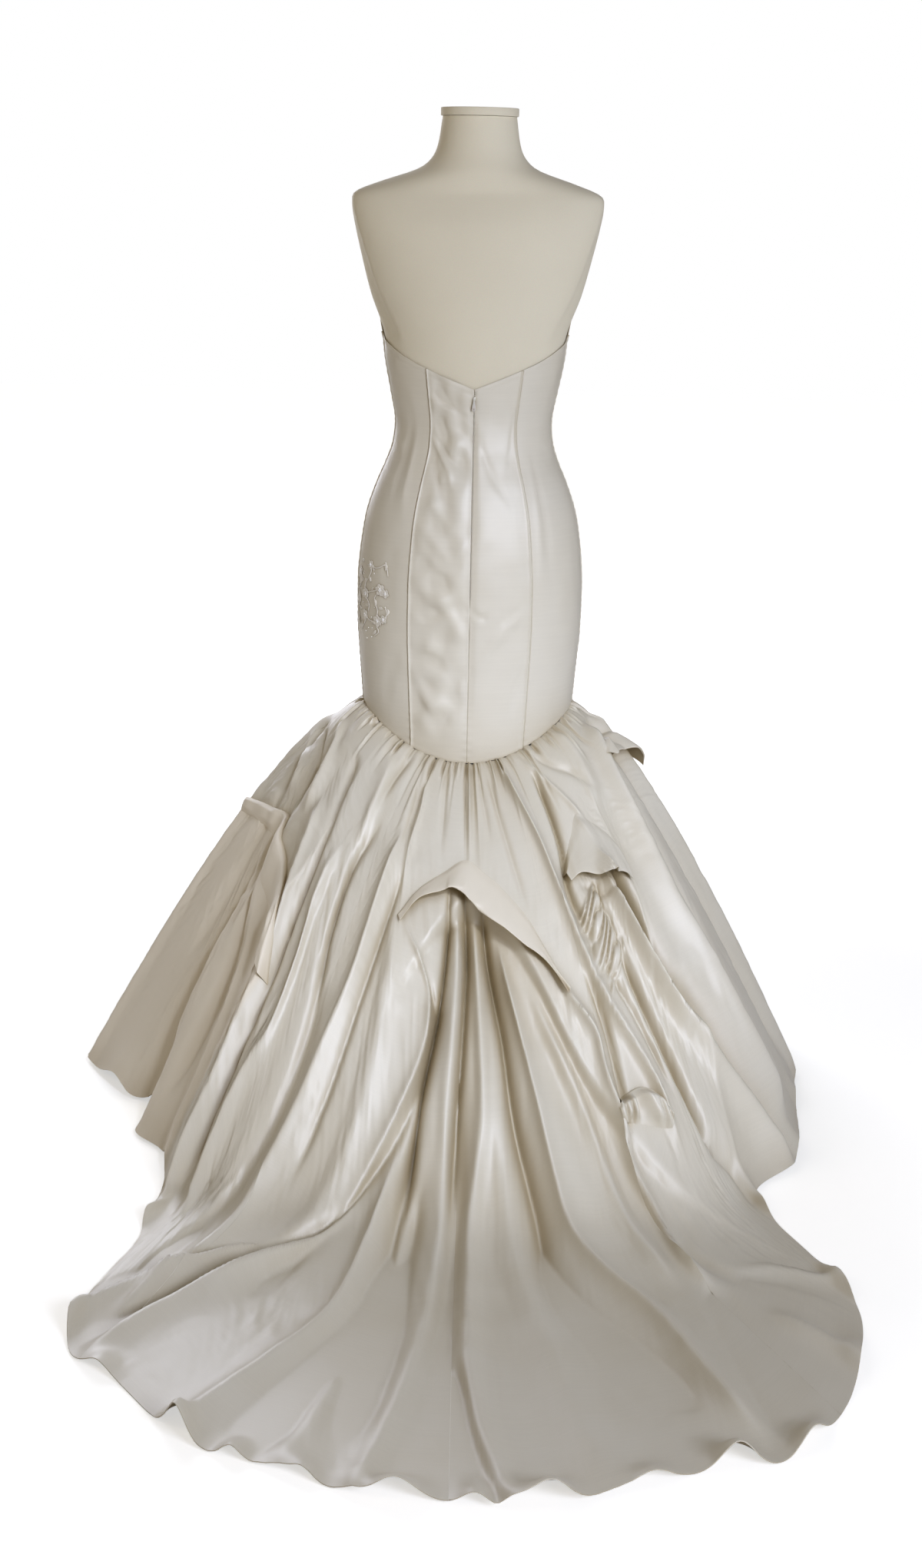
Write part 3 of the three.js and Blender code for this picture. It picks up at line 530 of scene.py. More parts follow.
def skirt_point(angle, t, depth):
    """Points of the skirt's outer face, with its folds at a share of their depth and its hem lifted."""
    height, shift = skirt_height(angle, t)
    height, shift = height * depth, shift * depth
    moved = angle + shift
    point = skirt_base(moved, t) + outwards(moved, t) * height[..., None]
    at = np.mod(angle, 360)
    lift = np.zeros_like(height)
    for middle, wide, rise, start in zip(*HEM_LIFTS.values()):
        run = smoothstep(t, start, 1.0) ** 1.5
        lift = lift + rise * HEM_LIFT * run * np.exp(-(((at - middle) / wide) ** 2))
    point[..., 2] = np.maximum(point[..., 2], SKIRT_WALL) + lift
    return point


# Meshes of cloth and of hard pieces
def grid_mesh(name, points, places, marks=None):
    """A sheet from rows of points, with its own UV map in metres and an optional mark from 0 to 1."""
    rows, count = points.shape[:2]
    number = np.arange(rows * count).reshape(rows, count)
    quads = np.stack([number[:-1, :-1], number[1:, :-1], number[1:, 1:], number[:-1, 1:]], -1).reshape(-1, 4)
    mesh = bpy.data.meshes.new(name)
    mesh.from_pydata(points.reshape(-1, 3).tolist(), [], quads.tolist())
    layer = mesh.uv_layers.new(name="cut")
    loops = np.empty(len(mesh.loops), dtype=np.int32)
    mesh.loops.foreach_get("vertex_index", loops)
    layer.data.foreach_set("uv", places.reshape(-1, 2)[loops].astype(np.float32).ravel())
    shade = mesh.attributes.new("reverse", "FLOAT", "POINT")
    values = np.zeros(rows * count) if marks is None else marks.ravel()
    shade.data.foreach_set("value", values.astype(np.float32))
    mesh.shade_smooth()
    ends = np.empty(len(mesh.edges) * 2, dtype=np.int32)
    mesh.edges.foreach_get("vertices", ends)
    row, column = np.divmod(ends.reshape(-1, 2), count)
    border = np.zeros(len(row), dtype=bool)
    for place, last in ((row, rows - 1), (column, count - 1)):
        border |= (place == 0).all(1) | (place == last).all(1)
    mesh.attributes.new("sharp_edge", "BOOLEAN", "EDGE").data.foreach_set("value", border)
    return mesh


def add_object(name, mesh, material):
    """A new piece from a finished mesh."""
    piece = bpy.data.objects.new(name, mesh)
    bpy.context.scene.collection.objects.link(piece)
    mesh.materials.append(material)
    return piece


def add_cloth(node, points, places, material, wall, marks=None):
    """A cloth piece with its wall on the inside, which stands for a solid of the model."""
    name = node + "_satin"
    piece = add_object(name, grid_mesh(name, points, places, marks), material)
    add_modifier(piece, "SOLIDIFY", thickness=wall, offset=-1, use_even_offset=False)
    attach(piece, GOWN)
    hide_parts(node)
    return piece


def start_clean(piece=None):
    """Nothing in edit mode and nothing selected but the piece, if one is given, for the next operator."""
    if bpy.context.object and bpy.context.object.mode != "OBJECT":
        bpy.ops.object.mode_set(mode="OBJECT")
    bpy.ops.object.select_all(action="DESELECT")
    if piece:
        piece.select_set(True)
        bpy.context.view_layer.objects.active = piece


def place_in_mesh(piece):
    """Moves a piece's place, turn and size into its mesh."""
    start_clean(piece)
    bpy.ops.object.transform_apply(location=True, rotation=True, scale=True)


def add_modifier(piece, kind, **settings):
    """A modifier with its settings, named after its kind."""
    tool = piece.modifiers.new(kind.lower(), kind)
    for name, value in settings.items():
        setattr(tool, name, value)
    return tool


def shape_by(piece, kind, **settings):
    """A modifier with its settings, applied at once."""
    start_clean(piece)
    bpy.ops.object.modifier_apply(modifier=add_modifier(piece, kind, **settings).name)


def select_faces(piece, chosen):
    """Selects the faces that a test picks, in edit mode."""
    mesh = bmesh.from_edit_mesh(piece.data)
    for face in mesh.faces:
        face.select = chosen(face)
    bmesh.update_edit_mesh(piece.data)


def vertex_places(piece):
    """A piece's vertices, as rows of x, y and z."""
    places = np.empty(len(piece.data.vertices) * 3)
    piece.data.vertices.foreach_get("co", places)
    return places.reshape(-1, 3)


def move_vertices(piece, places):
    """Puts a piece's vertices at new places."""
    piece.data.vertices.foreach_set("co", places.ravel())


def finish_hard(piece, name, material, body, node=None, bevel=0.0, segments=2, angle=35):
    """Bevels, smooths and names a hard piece, and joins it to its body."""
    place_in_mesh(piece)
    piece.name = piece.data.name = name
    piece.data.materials.clear()
    piece.data.materials.append(material)
    if bevel:
        limit = {"limit_method": "ANGLE", "angle_limit": math.radians(30)}
        shape_by(piece, "BEVEL", width=bevel, segments=segments, **limit)
    bpy.ops.object.shade_smooth_by_angle(angle=math.radians(angle))
    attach(piece, body)
    if node:
        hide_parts(node)
    return piece


# Materials
BLEND = {"data_type": "RGBA"}
MULTIPLY = {"data_type": "RGBA", "blend_type": "MULTIPLY"}
FLAT_NOISE = {"noise_dimensions": "2D"}
SATIN_FINISH = {
    "Anisotropic": 0.35,
    "IOR": 1.6,
    "Specular IOR Level": 0.7,
    "Sheen Weight": 0.15,
    "Sheen Roughness": 0.4,
}


def linear(code):
    """An sRGB hex colour as linear values with full alpha."""
    values = [int(code[i : i + 2], 16) / 255 for i in (1, 3, 5)]
    return [v / 12.92 if v <= 0.04045 else ((v + 0.055) / 1.055) ** 2.4 for v in values] + [1.0]


def add_node(tree, kind, settings=None, links=None):
    """A node with its settings, and its inputs as values or as other nodes' sockets."""
    node = tree.nodes.new(kind)
    for name, value in (settings or {}).items():
        setattr(node, name, value)
    for name, value in (links or {}).items():
        if isinstance(value, bpy.types.NodeSocket):
            tree.links.new(value, node.inputs[name])
        else:
            node.inputs[name].default_value = value
    return node


def new_material(name, finish):
    """A material, its tree and its shader, with the finish that is the same all over set on the shader."""
    material = bpy.data.materials.new(name)
    material.use_nodes = True
    tree = material.node_tree
    shader = tree.nodes["Principled BSDF"]
    for socket, value in finish.items():
        shader.inputs[socket].default_value = value
    return material, tree, shader


def silk_satin(name, front, shade, reverse):
    """Duchesse silk satin, warp-faced: long floats give broad soft highlights, the reverse is matt and dull,
    and uneven filling threads show as faint bars across the cloth. Its threads lie 0.2 mm apart and are
    drawn every 1.6 mm, or they would not show."""
    material, tree, shader = new_material(name, SATIN_FINISH)
    place = add_node(tree, "ShaderNodeUVMap", {"uv_map": "cut"}).outputs["UV"]
    slub_place = add_node(tree, "ShaderNodeMapping", links={"Vector": place, "Scale": (9, 260, 1)})
    slubs = add_node(
        tree,
        "ShaderNodeTexNoise",
        FLAT_NOISE,
        {"Vector": slub_place.outputs["Vector"], "Scale": 1.0, "Detail": 3.0, "Roughness": 0.6},
    ).outputs["Fac"]
    warp_place = add_node(tree, "ShaderNodeMapping", links={"Vector": place, "Scale": (620, 14, 1)})
    warps = add_node(
        tree,
        "ShaderNodeTexNoise",
        FLAT_NOISE,
        {"Vector": warp_place.outputs["Vector"], "Scale": 1.0, "Detail": 2.0, "Roughness": 0.5},
    ).outputs["Fac"]
    bars = add_node(tree, "ShaderNodeMapRange", links={"Value": slubs, "From Min": 0.35, "From Max": 0.75})
    patches = add_node(tree, "ShaderNodeTexNoise", FLAT_NOISE, {"Vector": place, "Scale": 5.0, "Detail": 3.0})
    face = add_node(
        tree,
        "ShaderNodeMix",
        BLEND,
        {"Factor": patches.outputs["Fac"], "A": linear(front), "B": linear(shade)},
    )
    barred = add_node(
        tree,
        "ShaderNodeMix",
        MULTIPLY,
        {"Factor": 0.025, "A": face.outputs["Result"], "B": bars.outputs["Result"]},
    )
    turned = add_node(tree, "ShaderNodeAttribute", {"attribute_name": "reverse"}).outputs["Fac"]
    dull = add_node(
        tree,
        "ShaderNodeMix",
        BLEND,
        {"Factor": turned, "A": barred.outputs["Result"], "B": linear(reverse)},
    )
    # Painted shade, by ambient occlusion: deep in folds the ivory silk's colour is darkened and warmed, as if
    # lit by itself.
    hollow = add_node(tree, "ShaderNodeAmbientOcclusion", {"samples": 6}, {"Distance": 0.09}).outputs["AO"]
    depth = add_node(tree, "ShaderNodeMapRange", links={"Value": hollow, "From Min": 0.25, "From Max": 0.95})
    painted_fold_shade = add_node(
        tree,
        "ShaderNodeMix",
        BLEND,
        {"Factor": depth.outputs["Result"], "A": linear("#BFB091"), "B": linear("#FFFFFF")},
    )
    lit = add_node(
        tree,
        "ShaderNodeMix",
        MULTIPLY,
        {"Factor": 1.0, "A": dull.outputs["Result"], "B": painted_fold_shade.outputs["Result"]},
    )
    tree.links.new(lit.outputs["Result"], shader.inputs["Base Color"])
    gloss = add_node(tree, "ShaderNodeMapRange", links={"Value": turned, "To Min": 0.41, "To Max": 0.60})
    sums = {"operation": "MULTIPLY_ADD"}
    rough = add_node(tree, "ShaderNodeMath", sums, {0: slubs, 1: 0.08, 2: gloss.outputs["Result"]})
    tree.links.new(rough.outputs["Value"], shader.inputs["Roughness"])
    threads = add_node(tree, "ShaderNodeMath", sums, {0: slubs, 1: 0.8, 2: warps}).outputs["Value"]
    bump = add_node(tree, "ShaderNodeBump", links={"Height": threads, "Strength": 0.07, "Distance": 0.0005})
    tree.links.new(bump.outputs["Normal"], shader.inputs["Normal"])
    floats = add_node(tree, "ShaderNodeTangent", {"direction_type": "UV_MAP", "uv_map": "cut"})
    tree.links.new(floats.outputs["Tangent"], shader.inputs["Tangent"])
    return material


def form_linen(name, colour, shade):
    """Plain linen jersey stretched over the form: matt, a fine even weave with threads 0.7 mm apart, drawn
    at 1.4 mm, and slightly yellowed in soft patches."""
    material, tree, shader = new_material(name, {"Roughness": 0.85, "Sheen Weight": 0.2})
    place = add_node(tree, "ShaderNodeTexCoord").outputs["Object"]
    patches = add_node(tree, "ShaderNodeTexNoise", links={"Vector": place, "Scale": 7.0, "Detail": 4.0})
    face = add_node(
        tree,
        "ShaderNodeMix",
        BLEND,
        {"Factor": patches.outputs["Fac"], "A": linear(colour), "B": linear(shade)},
    )
    scaled = add_node(tree, "ShaderNodeMapping", links={"Vector": place, "Scale": (700, 700, 700)})
    weave_place = scaled.outputs["Vector"]
    weave = add_node(tree, "ShaderNodeTexNoise", links={"Vector": weave_place, "Scale": 1.0, "Detail": 1.0})
    speck = add_node(
        tree,
        "ShaderNodeMix",
        MULTIPLY,
        {"Factor": 0.10, "A": face.outputs["Result"], "B": weave.outputs["Color"]},
    )
    tree.links.new(speck.outputs["Result"], shader.inputs["Base Color"])
    height = weave.outputs["Fac"]
    bump = add_node(tree, "ShaderNodeBump", links={"Height": height, "Strength": 0.12, "Distance": 0.0005})
    tree.links.new(bump.outputs["Normal"], shader.inputs["Normal"])
    return material


def cotton_lace(name, colour, shade):
    """Corded cotton lace: raised matt thread, with painted highlight and shade: its colour is lighter on the
    thread's ridges and darker between them.
    """
    material, tree, shader = new_material(name, {"Roughness": 0.55, "Sheen Weight": 0.3})
    place = add_node(tree, "ShaderNodeTexCoord").outputs["Object"]
    thread = add_node(
        tree,
        "ShaderNodeTexWave",
        {"bands_direction": "DIAGONAL"},
        {"Vector": place, "Scale": 320.0, "Distortion": 3.0},
    ).outputs["Fac"]
    face = add_node(
        tree, "ShaderNodeMix", BLEND, {"Factor": thread, "A": linear(shade), "B": linear(colour)}
    )
    tree.links.new(face.outputs["Result"], shader.inputs["Base Color"])
    bump = add_node(tree, "ShaderNodeBump", links={"Height": thread, "Strength": 0.3, "Distance": 0.0004})
    tree.links.new(bump.outputs["Normal"], shader.inputs["Normal"])
    return material


def glass_bead(name, colour):
    """Small pearly glass beads, glossy, with a faint difference from one to the next."""
    material, tree, shader = new_material(name, {"Roughness": 0.12, "Coat Weight": 0.5})
    place = add_node(tree, "ShaderNodeTexCoord").outputs["Object"]
    spots = add_node(tree, "ShaderNodeTexNoise", links={"Vector": place, "Scale": 300.0})
    face = add_node(
        tree,
        "ShaderNodeMix",
        BLEND,
        {"Factor": spots.outputs["Fac"], "A": linear(colour), "B": linear("#FFFFFF")},
    )
    tree.links.new(face.outputs["Result"], shader.inputs["Base Color"])
    return material


def enamelled_metal(name, colour, roughness, metallic):
    """Metal under baked enamel: even colour, a soft gloss and faint waves in the paint."""
    material, tree, shader = new_material(name, {"Metallic": metallic})
    place = add_node(tree, "ShaderNodeTexCoord").outputs["Object"]
    waves = add_node(tree, "ShaderNodeTexNoise", links={"Vector": place, "Scale": 90.0, "Detail": 3.0})
    face = add_node(
        tree,
        "ShaderNodeMix",
        MULTIPLY,
        {"Factor": 0.12, "A": linear(colour), "B": waves.outputs["Color"]},
    )
    tree.links.new(face.outputs["Result"], shader.inputs["Base Color"])
    height = waves.outputs["Fac"]
    gloss = add_node(
        tree,
        "ShaderNodeMapRange",
        links={"Value": height, "To Min": roughness - 0.05, "To Max": roughness + 0.08},
    )
    tree.links.new(gloss.outputs["Result"], shader.inputs["Roughness"])
    bump = add_node(tree, "ShaderNodeBump", links={"Height": height, "Strength": 0.05, "Distance": 0.0005})
    tree.links.new(bump.outputs["Normal"], shader.inputs["Normal"])
    return material


def painted_backdrop(name, colour, near, far):
    """Pale matt paper that glows for the camera only, as painted light: dimmer near the gown and brighter out
    to where the floor meets the background.
    """
    material, tree, shader = new_material(name, {"Roughness": 0.9, "Emission Color": linear(colour)})
    place = add_node(tree, "ShaderNodeTexCoord").outputs["Object"]
    patches = add_node(tree, "ShaderNodeTexNoise", links={"Vector": place, "Scale": 1.5})
    face = add_node(
        tree,
        "ShaderNodeMix",
        MULTIPLY,
        {"Factor": 0.02, "A": linear(colour), "B": patches.outputs["Color"]},
    )
    tree.links.new(face.outputs["Result"], shader.inputs["Base Color"])
    distance = add_node(tree, "ShaderNodeVectorMath", {"operation": "LENGTH"}, {0: place}).outputs["Value"]
    painted_camera_glow = add_node(
        tree,
        "ShaderNodeMapRange",
        links={"Value": distance, "From Min": 1.0, "From Max": 3.8, "To Min": near, "To Max": far},
    ).outputs["Result"]
    seen = add_node(tree, "ShaderNodeLightPath").outputs["Is Camera Ray"]
    strength = add_node(tree, "ShaderNodeMath", {"operation": "MULTIPLY"}, {0: painted_camera_glow, 1: seen})
    tree.links.new(strength.outputs["Value"], shader.inputs["Emission Strength"])
    return material


def material_of(name, make, *sizes):
    """A material by its name, made once."""
    return bpy.data.materials.get(name) or make(name, *sizes)


def satin():
    """The gown's satin, in the colours that are set."""
    cloth = bpy.context.scene.gown_cloth
    return material_of("ivory_silk_satin", silk_satin, cloth.front, cloth.shade, cloth.reverse)


# Sizes and colours that a user would change
def colour_field(name, what, code):
    return bpy.props.StringProperty(name=name, description=f"Colour of {what}, as a hex code", default=code)


def light_field(name, what, watts):
    return bpy.props.FloatProperty(name=name, description=f"Power of {what}", default=watts, unit="POWER")


class GownClothSettings(bpy.types.PropertyGroup):
    front: colour_field("Satin", "the satin's face", "#E9E5D8")
    shade: colour_field("Satin in patches", "the satin where it is slightly aged", "#E0D9C6")
    reverse: colour_field("Reverse", "the satin's dull reverse", "#F3EBD9")
    fold_share: bpy.props.FloatProperty(
        name="Fold depth",
        description="Depth of the skirt's folds, where 1 is as made",
        default=1.0,
        min=0.2,
        max=1.0,
    )
    wrinkle: bpy.props.FloatProperty(
        name="Bodice wrinkles",
        description="Height of the soft wrinkles over the hips",
        default=0.0055,
        min=0.0,
        max=0.008,
        unit="LENGTH",
    )


class GownTrimSettings(bpy.types.PropertyGroup):
    lace: colour_field("Lace", "the lace", "#F6F3EA")
    bead: colour_field("Beads", "the beads", "#F2EFE6")
    bead_width: bpy.props.FloatProperty(
        name="Bead width", description="Width of a bead", default=0.0026, min=0.001, max=0.005, unit="LENGTH"
    )
    zip_metal: colour_field("Zip metal", "the enamelled zip slider", "#E6E3DA")
    tooth_pitch: bpy.props.FloatProperty(
        name="Tooth pitch",
        description="From one zip tooth to the next",
        default=0.0026,
        min=0.001,
        unit="LENGTH",
    )


class GownFormSettings(bpy.types.PropertyGroup):
    linen: colour_field("Linen", "the form's cover", "#F1EAD3")
    linen_shade: colour_field("Linen in patches", "the cover where it has yellowed", "#E7DFC8")
    steel: colour_field("Steel", "the painted pole and base", "#2C2C2E")
    around: bpy.props.IntProperty(
        name="Columns", description="Columns round the torso", default=112, min=32, max=200
    )


class GownStudioSettings(bpy.types.PropertyGroup):
    paper: colour_field("Floor", "the floor", "#F6F6F5")
    key_power: light_field("Key light", "the key light", 103)
    fill_power: light_field("Fill light", "the fill light", 16)
    spot_power: light_field("Skirt light", "the light over the upper skirt", 198)
    lens: bpy.props.FloatProperty(
        name="Lens", description="Focal length of the camera", default=50, subtype="DISTANCE_CAMERA"
    )


# Bodice: each panel's name, seams and number of columns.
BODICE_PANELS = [
    ("bodice_centre_front", -40, 40, 46),
    ("bodice_side_front_left", 40, 90, 36),
    ("bodice_side_back_left", 90, 147, 44),
    ("bodice_centre_back_left", 147, 180, 44),
    ("bodice_centre_back_right", 180, 213, 44),
    ("bodice_side_back_right", 213, 270, 44),
    ("bodice_side_front_right", 270, 320, 36),
]

# Drag lines and dents of the bodice: half width in millimetres, height in units of 2 mm, then the angles and
# heights of the four points that it runs through.
DRAG_HEIGHT = 0.002
DRAG_STEPS = 40
LEFT_BACK = {"angle": 164, "spread": 14, "rise": 0.0016}  # the panel that the photo shows loose and creased
BESIDE_ZIP = 0.0022  # how far the cloth stands off beside the zip
SEAM_RIDGE = 0.0019  # height of a pressed seam allowance under the satin
SEAM_GROOVE = 0.0010  # depth of the stitched seam
EDGE_FOLD = 0.010  # depth of the folded top edge
DRAGS = """
5   -1.5  149 1.068  156 1.050  163 1.032  170 1.018
4    1.2  150 1.060  157 1.038  165 1.012  168 0.985
5   -1.3  150 1.040  155 1.010  160 0.985  166 0.960
6    1.2  150 1.118  160 1.106  170 1.100  176 1.098
5   -1.4  150 1.130  158 1.120  166 1.104  177 1.090
8   -1.4  155 0.960  160 0.935  166 0.915  172 0.905
8    1.3  152 0.930  160 0.905  168 0.880  175 0.874
9   -1.5  151 0.885  158 0.868  166 0.850  172 0.822
9    1.4  158 0.845  164 0.825  170 0.795  176 0.760
8   -1.4  150 0.800  158 0.790  166 0.800  175 0.812
9   -1.3  155 0.740  162 0.720  170 0.700  176 0.665
9    1.2  150 0.700  156 0.672  162 0.640  168 0.610
4   -2.2  178.6 0.806 179.6 0.800 180.2 0.798 181.0 0.800
4   -1.8  181.0 0.800 184.0 0.793 187.0 0.791 190.0 0.794
7    1.0  186 0.716  190 0.740  198 0.772  210 0.800
6   -1.2  212 0.712  208 0.690  205 0.668  203 0.640
5   -0.9  203 1.010  208 1.045  211 1.090  212 1.130
7   -1.0  184 1.060  190 1.020  196 0.990  202 0.965
6    0.9  222 1.020  220 0.960  219 0.900  218 0.840
7   -1.0  226 1.030  224 0.970  224 0.905  225 0.850
7   -1.1  128 1.080  126 1.040  127 1.000  129 0.960
7    1.0  135 1.075  134 1.030  136 0.985  139 0.940
9   -1.2  138 0.900  134 0.860  133 0.820  136 0.780
9   -1.0  140 0.730  136 0.700  132 0.670  130 0.640
6    0.9  100 1.060  108 1.050  116 1.044  124 1.046
6   -1.0   96 1.036  106 1.026  116 1.022  126 1.024
6    0.9  236 1.050  246 1.044  256 1.046  264 1.052
6   -1.0  234 1.026  244 1.020  254 1.022  266 1.030
7   -0.9   20 1.050   28 1.044   36 1.046   42 1.052
7   -0.9  340 1.050  332 1.044  324 1.046  318 1.052
"""


def bodice_height(angle, z, amount):
    """The bodice's soft wrinkles, its sewn seams and its folded top edge, over the smooth form."""
    x = (angle - 180) * WAIST_DEGREE
    loose = 0.25 + 0.75 * smoothstep(waviness(x, z, 0.3, 3), -0.3, 0.4)
    left_back = np.exp(-(((angle - LEFT_BACK["angle"]) / LEFT_BACK["spread"]) ** 4))
    left_back = left_back * smoothstep(z, 0.58, 0.66)
    swells = amount * (0.16 * loose + 1.0 * left_back) * waviness(x, z, 0.046, 4)
    height = 0.0003 + LEFT_BACK["rise"] * left_back + swells
    height = height + amount * (0.06 + 0.28 * left_back) * wrinkles(x, z, 0.08, 6)
    middle = np.abs(angle - 180) * HIP_DEGREE
    beside_zip = (1 - np.exp(-((middle / 0.008) ** 2))) * np.exp(-((middle / 0.034) ** 2))
    height = height + BESIDE_ZIP * beside_zip * smoothstep(z, 0.6, 0.7) * (1 - smoothstep(z, 1.06, 1.12))
    for wide, rise, *route in number_rows(DRAGS):
        path = np.array(route).reshape(-1, 2)
        nearest = np.full(np.broadcast(angle, z).shape, 9.0)
        where = np.zeros_like(nearest)
        for share in np.linspace(0, 1, DRAG_STEPS):
            at = np.interp(share * 3, range(4), path[:, 0])
            up = np.interp(share * 3, range(4), path[:, 1])
            far = np.hypot((angle - at) * WAIST_DEGREE, z - up)
            where = np.where(far < nearest, share, where)
            nearest = np.minimum(nearest, far)
        fade = np.sin(np.pi * np.clip(where, 0.04, 0.96)) ** 0.7
        height = height + rise * DRAG_HEIGHT * fade * np.exp(-((nearest / (wide / 1000)) ** 2))
    return height


def bodice_point(angle, share, panel, amount):
    """Points of a bodice panel's outer face, with its wrinkles, seams, zip lap and folded edges."""
    _, start, end, _ = panel
    top = top_edge(angle)
    z = top + (seam_height(angle) + 0.0001 - top) * share
    height = bodice_height(np.mod(angle, 360), z, amount)
    near = np.minimum(angle - start, end - angle) * HIP_DEGREE
    height = height * (0.4 + 0.6 * smoothstep(near, 0.0, 0.010))
    allowance = (angle - start if start < 180 else end - angle) * HIP_DEGREE
    ridge = SEAM_RIDGE * np.exp(-(((allowance - 0.0024) / 0.0016) ** 2)) * (start > 0 or end > 40)
    pucker = 0.00035 * np.sin(z * 560 + 2.5 * np.sin(z * 47)) * np.exp(-((near / 0.007) ** 2))
    height = height - SEAM_GROOVE * np.exp(-((near / 0.0008) ** 2)) + ridge + pucker
    if 180 in (start, end):
        middle = np.abs(np.mod(angle, 360) - 180) * HIP_DEGREE
        lap = np.where(np.mod(angle, 360) <= 180, 0.0009, -0.0006)
        height = height + lap * np.exp(-((middle / 0.006) ** 2)) * smoothstep(z, 0.70, 0.76)
    edge = (top - z) / EDGE_FOLD
    fold = np.exp(-((edge - 0.35) ** 2) / 0.12) - np.exp(-((edge - 1.0) ** 2) / 0.02)
    seam = (z - seam_height(angle)) / 0.004
    height = height + 0.0005 * fold + 0.0004 * np.exp(-((seam - 0.6) ** 2))
    return body_point(angle, z) + away(angle) * (soft_floor(height + 0.0008, 0.0004) - 0.0008)[..., None]


class GOWN_OT_bodice(bpy.types.Operator):
    """Builds the seven bodice panels, from the top edge to the drop seam"""

    bl_idname = "gown.bodice"
    bl_label = "Bodice"

    def execute(self, context):
        cloth = context.scene.gown_cloth
        for panel in BODICE_PANELS:
            name, start, end, count = panel
            angle, share = np.meshgrid(seam_columns(start, end, count), rows_near_ends(150))
            angle[:, 0] += SEAM_GAP / HIP_DEGREE
            angle[:, -1] -= SEAM_GAP / HIP_DEGREE
            points = bodice_point(angle, share, panel, cloth.wrinkle)
            places = np.stack([(angle - start) * HIP_DEGREE, points[..., 2]], -1)
            wall = BODICE_WALL * 0.8
            add_cloth(name, points, places, satin(), wall)
        return {"FINISHED"}


def seam_columns(start, end, count):
    """Angles across a panel, close together beside its two seams."""
    close = np.array([0, 0.0005, 0.001, 0.0015, 0.0021, 0.0028, 0.0036, 0.0048]) / HIP_DEGREE
    between = np.linspace(start + close[-1], end - close[-1], count - 14)[1:-1]
    return np.concatenate([start + close, between, end - close[::-1]])


def rows_near_ends(count):
    """Shares from 0 to 1, closer together at both ends."""
    even = np.linspace(0, 1, count + 1)
    return even - 0.06 * np.sin(2 * np.pi * even)


# Skirt: each panel's name, seams, columns, rows, and its cut length in metres.
SKIRT_PANELS = [
    ("skirt_front", -90, 90, 240, 60, 0.75),
    ("skirt_side_left", 90, 157, 220, 180, 1.1),
    ("skirt_train_left", 157, 180, 112, 320, 1.6),
    ("skirt_train_right", 180, 203, 112, 320, 1.6),
    ("skirt_side_right", 203, 270, 220, 180, 1.1),
]
# The left flap shows the cloth's dull reverse. Its upper edge is given as angle and share of the way to the
# hem, and its right edge as share and angle.
FLAP_EDGE = columns("""
angle     t
   80  0.52
   96 0.468
  108  0.47
  117 0.495
  126 0.548
134.5   0.6
  139  0.66
""")
FLAP_SIDE = columns("""
   t angle
 0.6   138
0.66   137
0.78 134.5
0.92   129
   1   128
""")


def flap_mark(angle, t):
    """1 on the dull reverse of the left flap, 0 elsewhere."""
    top = np.interp(angle, FLAP_EDGE["angle"], FLAP_EDGE["t"])
    right = np.interp(t, FLAP_SIDE["t"], FLAP_SIDE["angle"])
    inside = smoothstep(t - top, -0.004, 0.004) * smoothstep(right - angle, -0.7, 0.7)
    return inside * smoothstep(angle, 60, 80) * (angle < 143)


RUCHED_DETAIL = 5


def skirt_rows(rows, detail):
    """Shares of the way to the hem, closer together at the top and, by a factor, over the ruched column."""
    at = np.linspace(0, 1, 2001)
    over = smoothstep(at, 0.29, 0.32) * (1 - smoothstep(at, 0.43, 0.46))
    density = 1 / (0.82 + 0.36 * at) + (detail - 1) * over
    reach = np.concatenate([[0], np.cumsum(density[1:] + density[:-1])])
    return np.interp(np.linspace(0, reach[-1], rows + 1), reach, at)


class GOWN_OT_skirt(bpy.types.Operator):
    """Builds the five gathered skirt panels, with their folds, gathers, puckers and lifted hem"""

    bl_idname = "gown.skirt"
    bl_label = "Skirt"

    def execute(self, context):
        depth = context.scene.gown_cloth.fold_share
        for name, start, end, count, rows, length in SKIRT_PANELS:
            share = skirt_rows(rows, RUCHED_DETAIL if name == "skirt_side_right" else 1)
            angle, t = np.meshgrid(np.linspace(start, end, count + 1), share)
            gap = SEAM_GAP / degree_width(angle, t)
            angle[:, 0] += gap[:, 0]
            angle[:, -1] -= gap[:, -1]
            points = skirt_point(angle, t, depth)
            middle = (start + end) / 2
            width = degree_width(np.full_like(t, middle), t)
            places = np.stack([(angle - middle) * width, t * length], -1)
            marks = flap_mark(np.mod(angle, 360), t)
            wall = SKIRT_WALL * 0.7
            add_cloth(name, points, places, satin(), wall, marks)
        return {"FINISHED"}


# Pick-ups, which turn the cloth back in a band: the angle and share of its sewn edge and of its free edge,
# and how far the free edge stands off, in metres.
CENTRE_PICK_UP = columns("""
sewnAngle sewnT freeAngle freeT  lift
    165.5 0.282     166.5  0.29 0.004
    168.8 0.245     169.5  0.26  0.01
    174.2 0.215     174.5 0.243 0.015
    180.5  0.19     178.2 0.237 0.019
    185.8  0.21     182.8 0.256 0.021
      190 0.238     187.6 0.281  0.02
    194.5 0.277     192.6 0.311 0.016
    197.6 0.318     196.4 0.331 0.011
      200  0.36     199.2 0.367 0.007
""")
RIGHT_PICK_UP = columns("""
sewnAngle sewnT freeAngle freeT  lift
    205.6 0.256       206 0.274 0.005
      208 0.242     208.3 0.284 0.011
      212 0.232     211.8  0.31 0.016
    217.8 0.229     216.8 0.348 0.018
      223 0.298     221.8 0.402 0.017
    227.5 0.373     225.8 0.454 0.012
    230.8 0.445     228.8 0.502 0.005
""")
LEFT_PICK_UP = columns("""
sewnAngle sewnT freeAngle freeT  lift
       84   0.5        85 0.525 0.004
       96 0.462        96 0.505 0.007
      108 0.461       106 0.525 0.009
      117 0.487     112.5 0.555 0.009
      126  0.54       120 0.598 0.009
    134.5 0.588     127.5 0.642 0.007
      139  0.64     132.5 0.675 0.004
""")
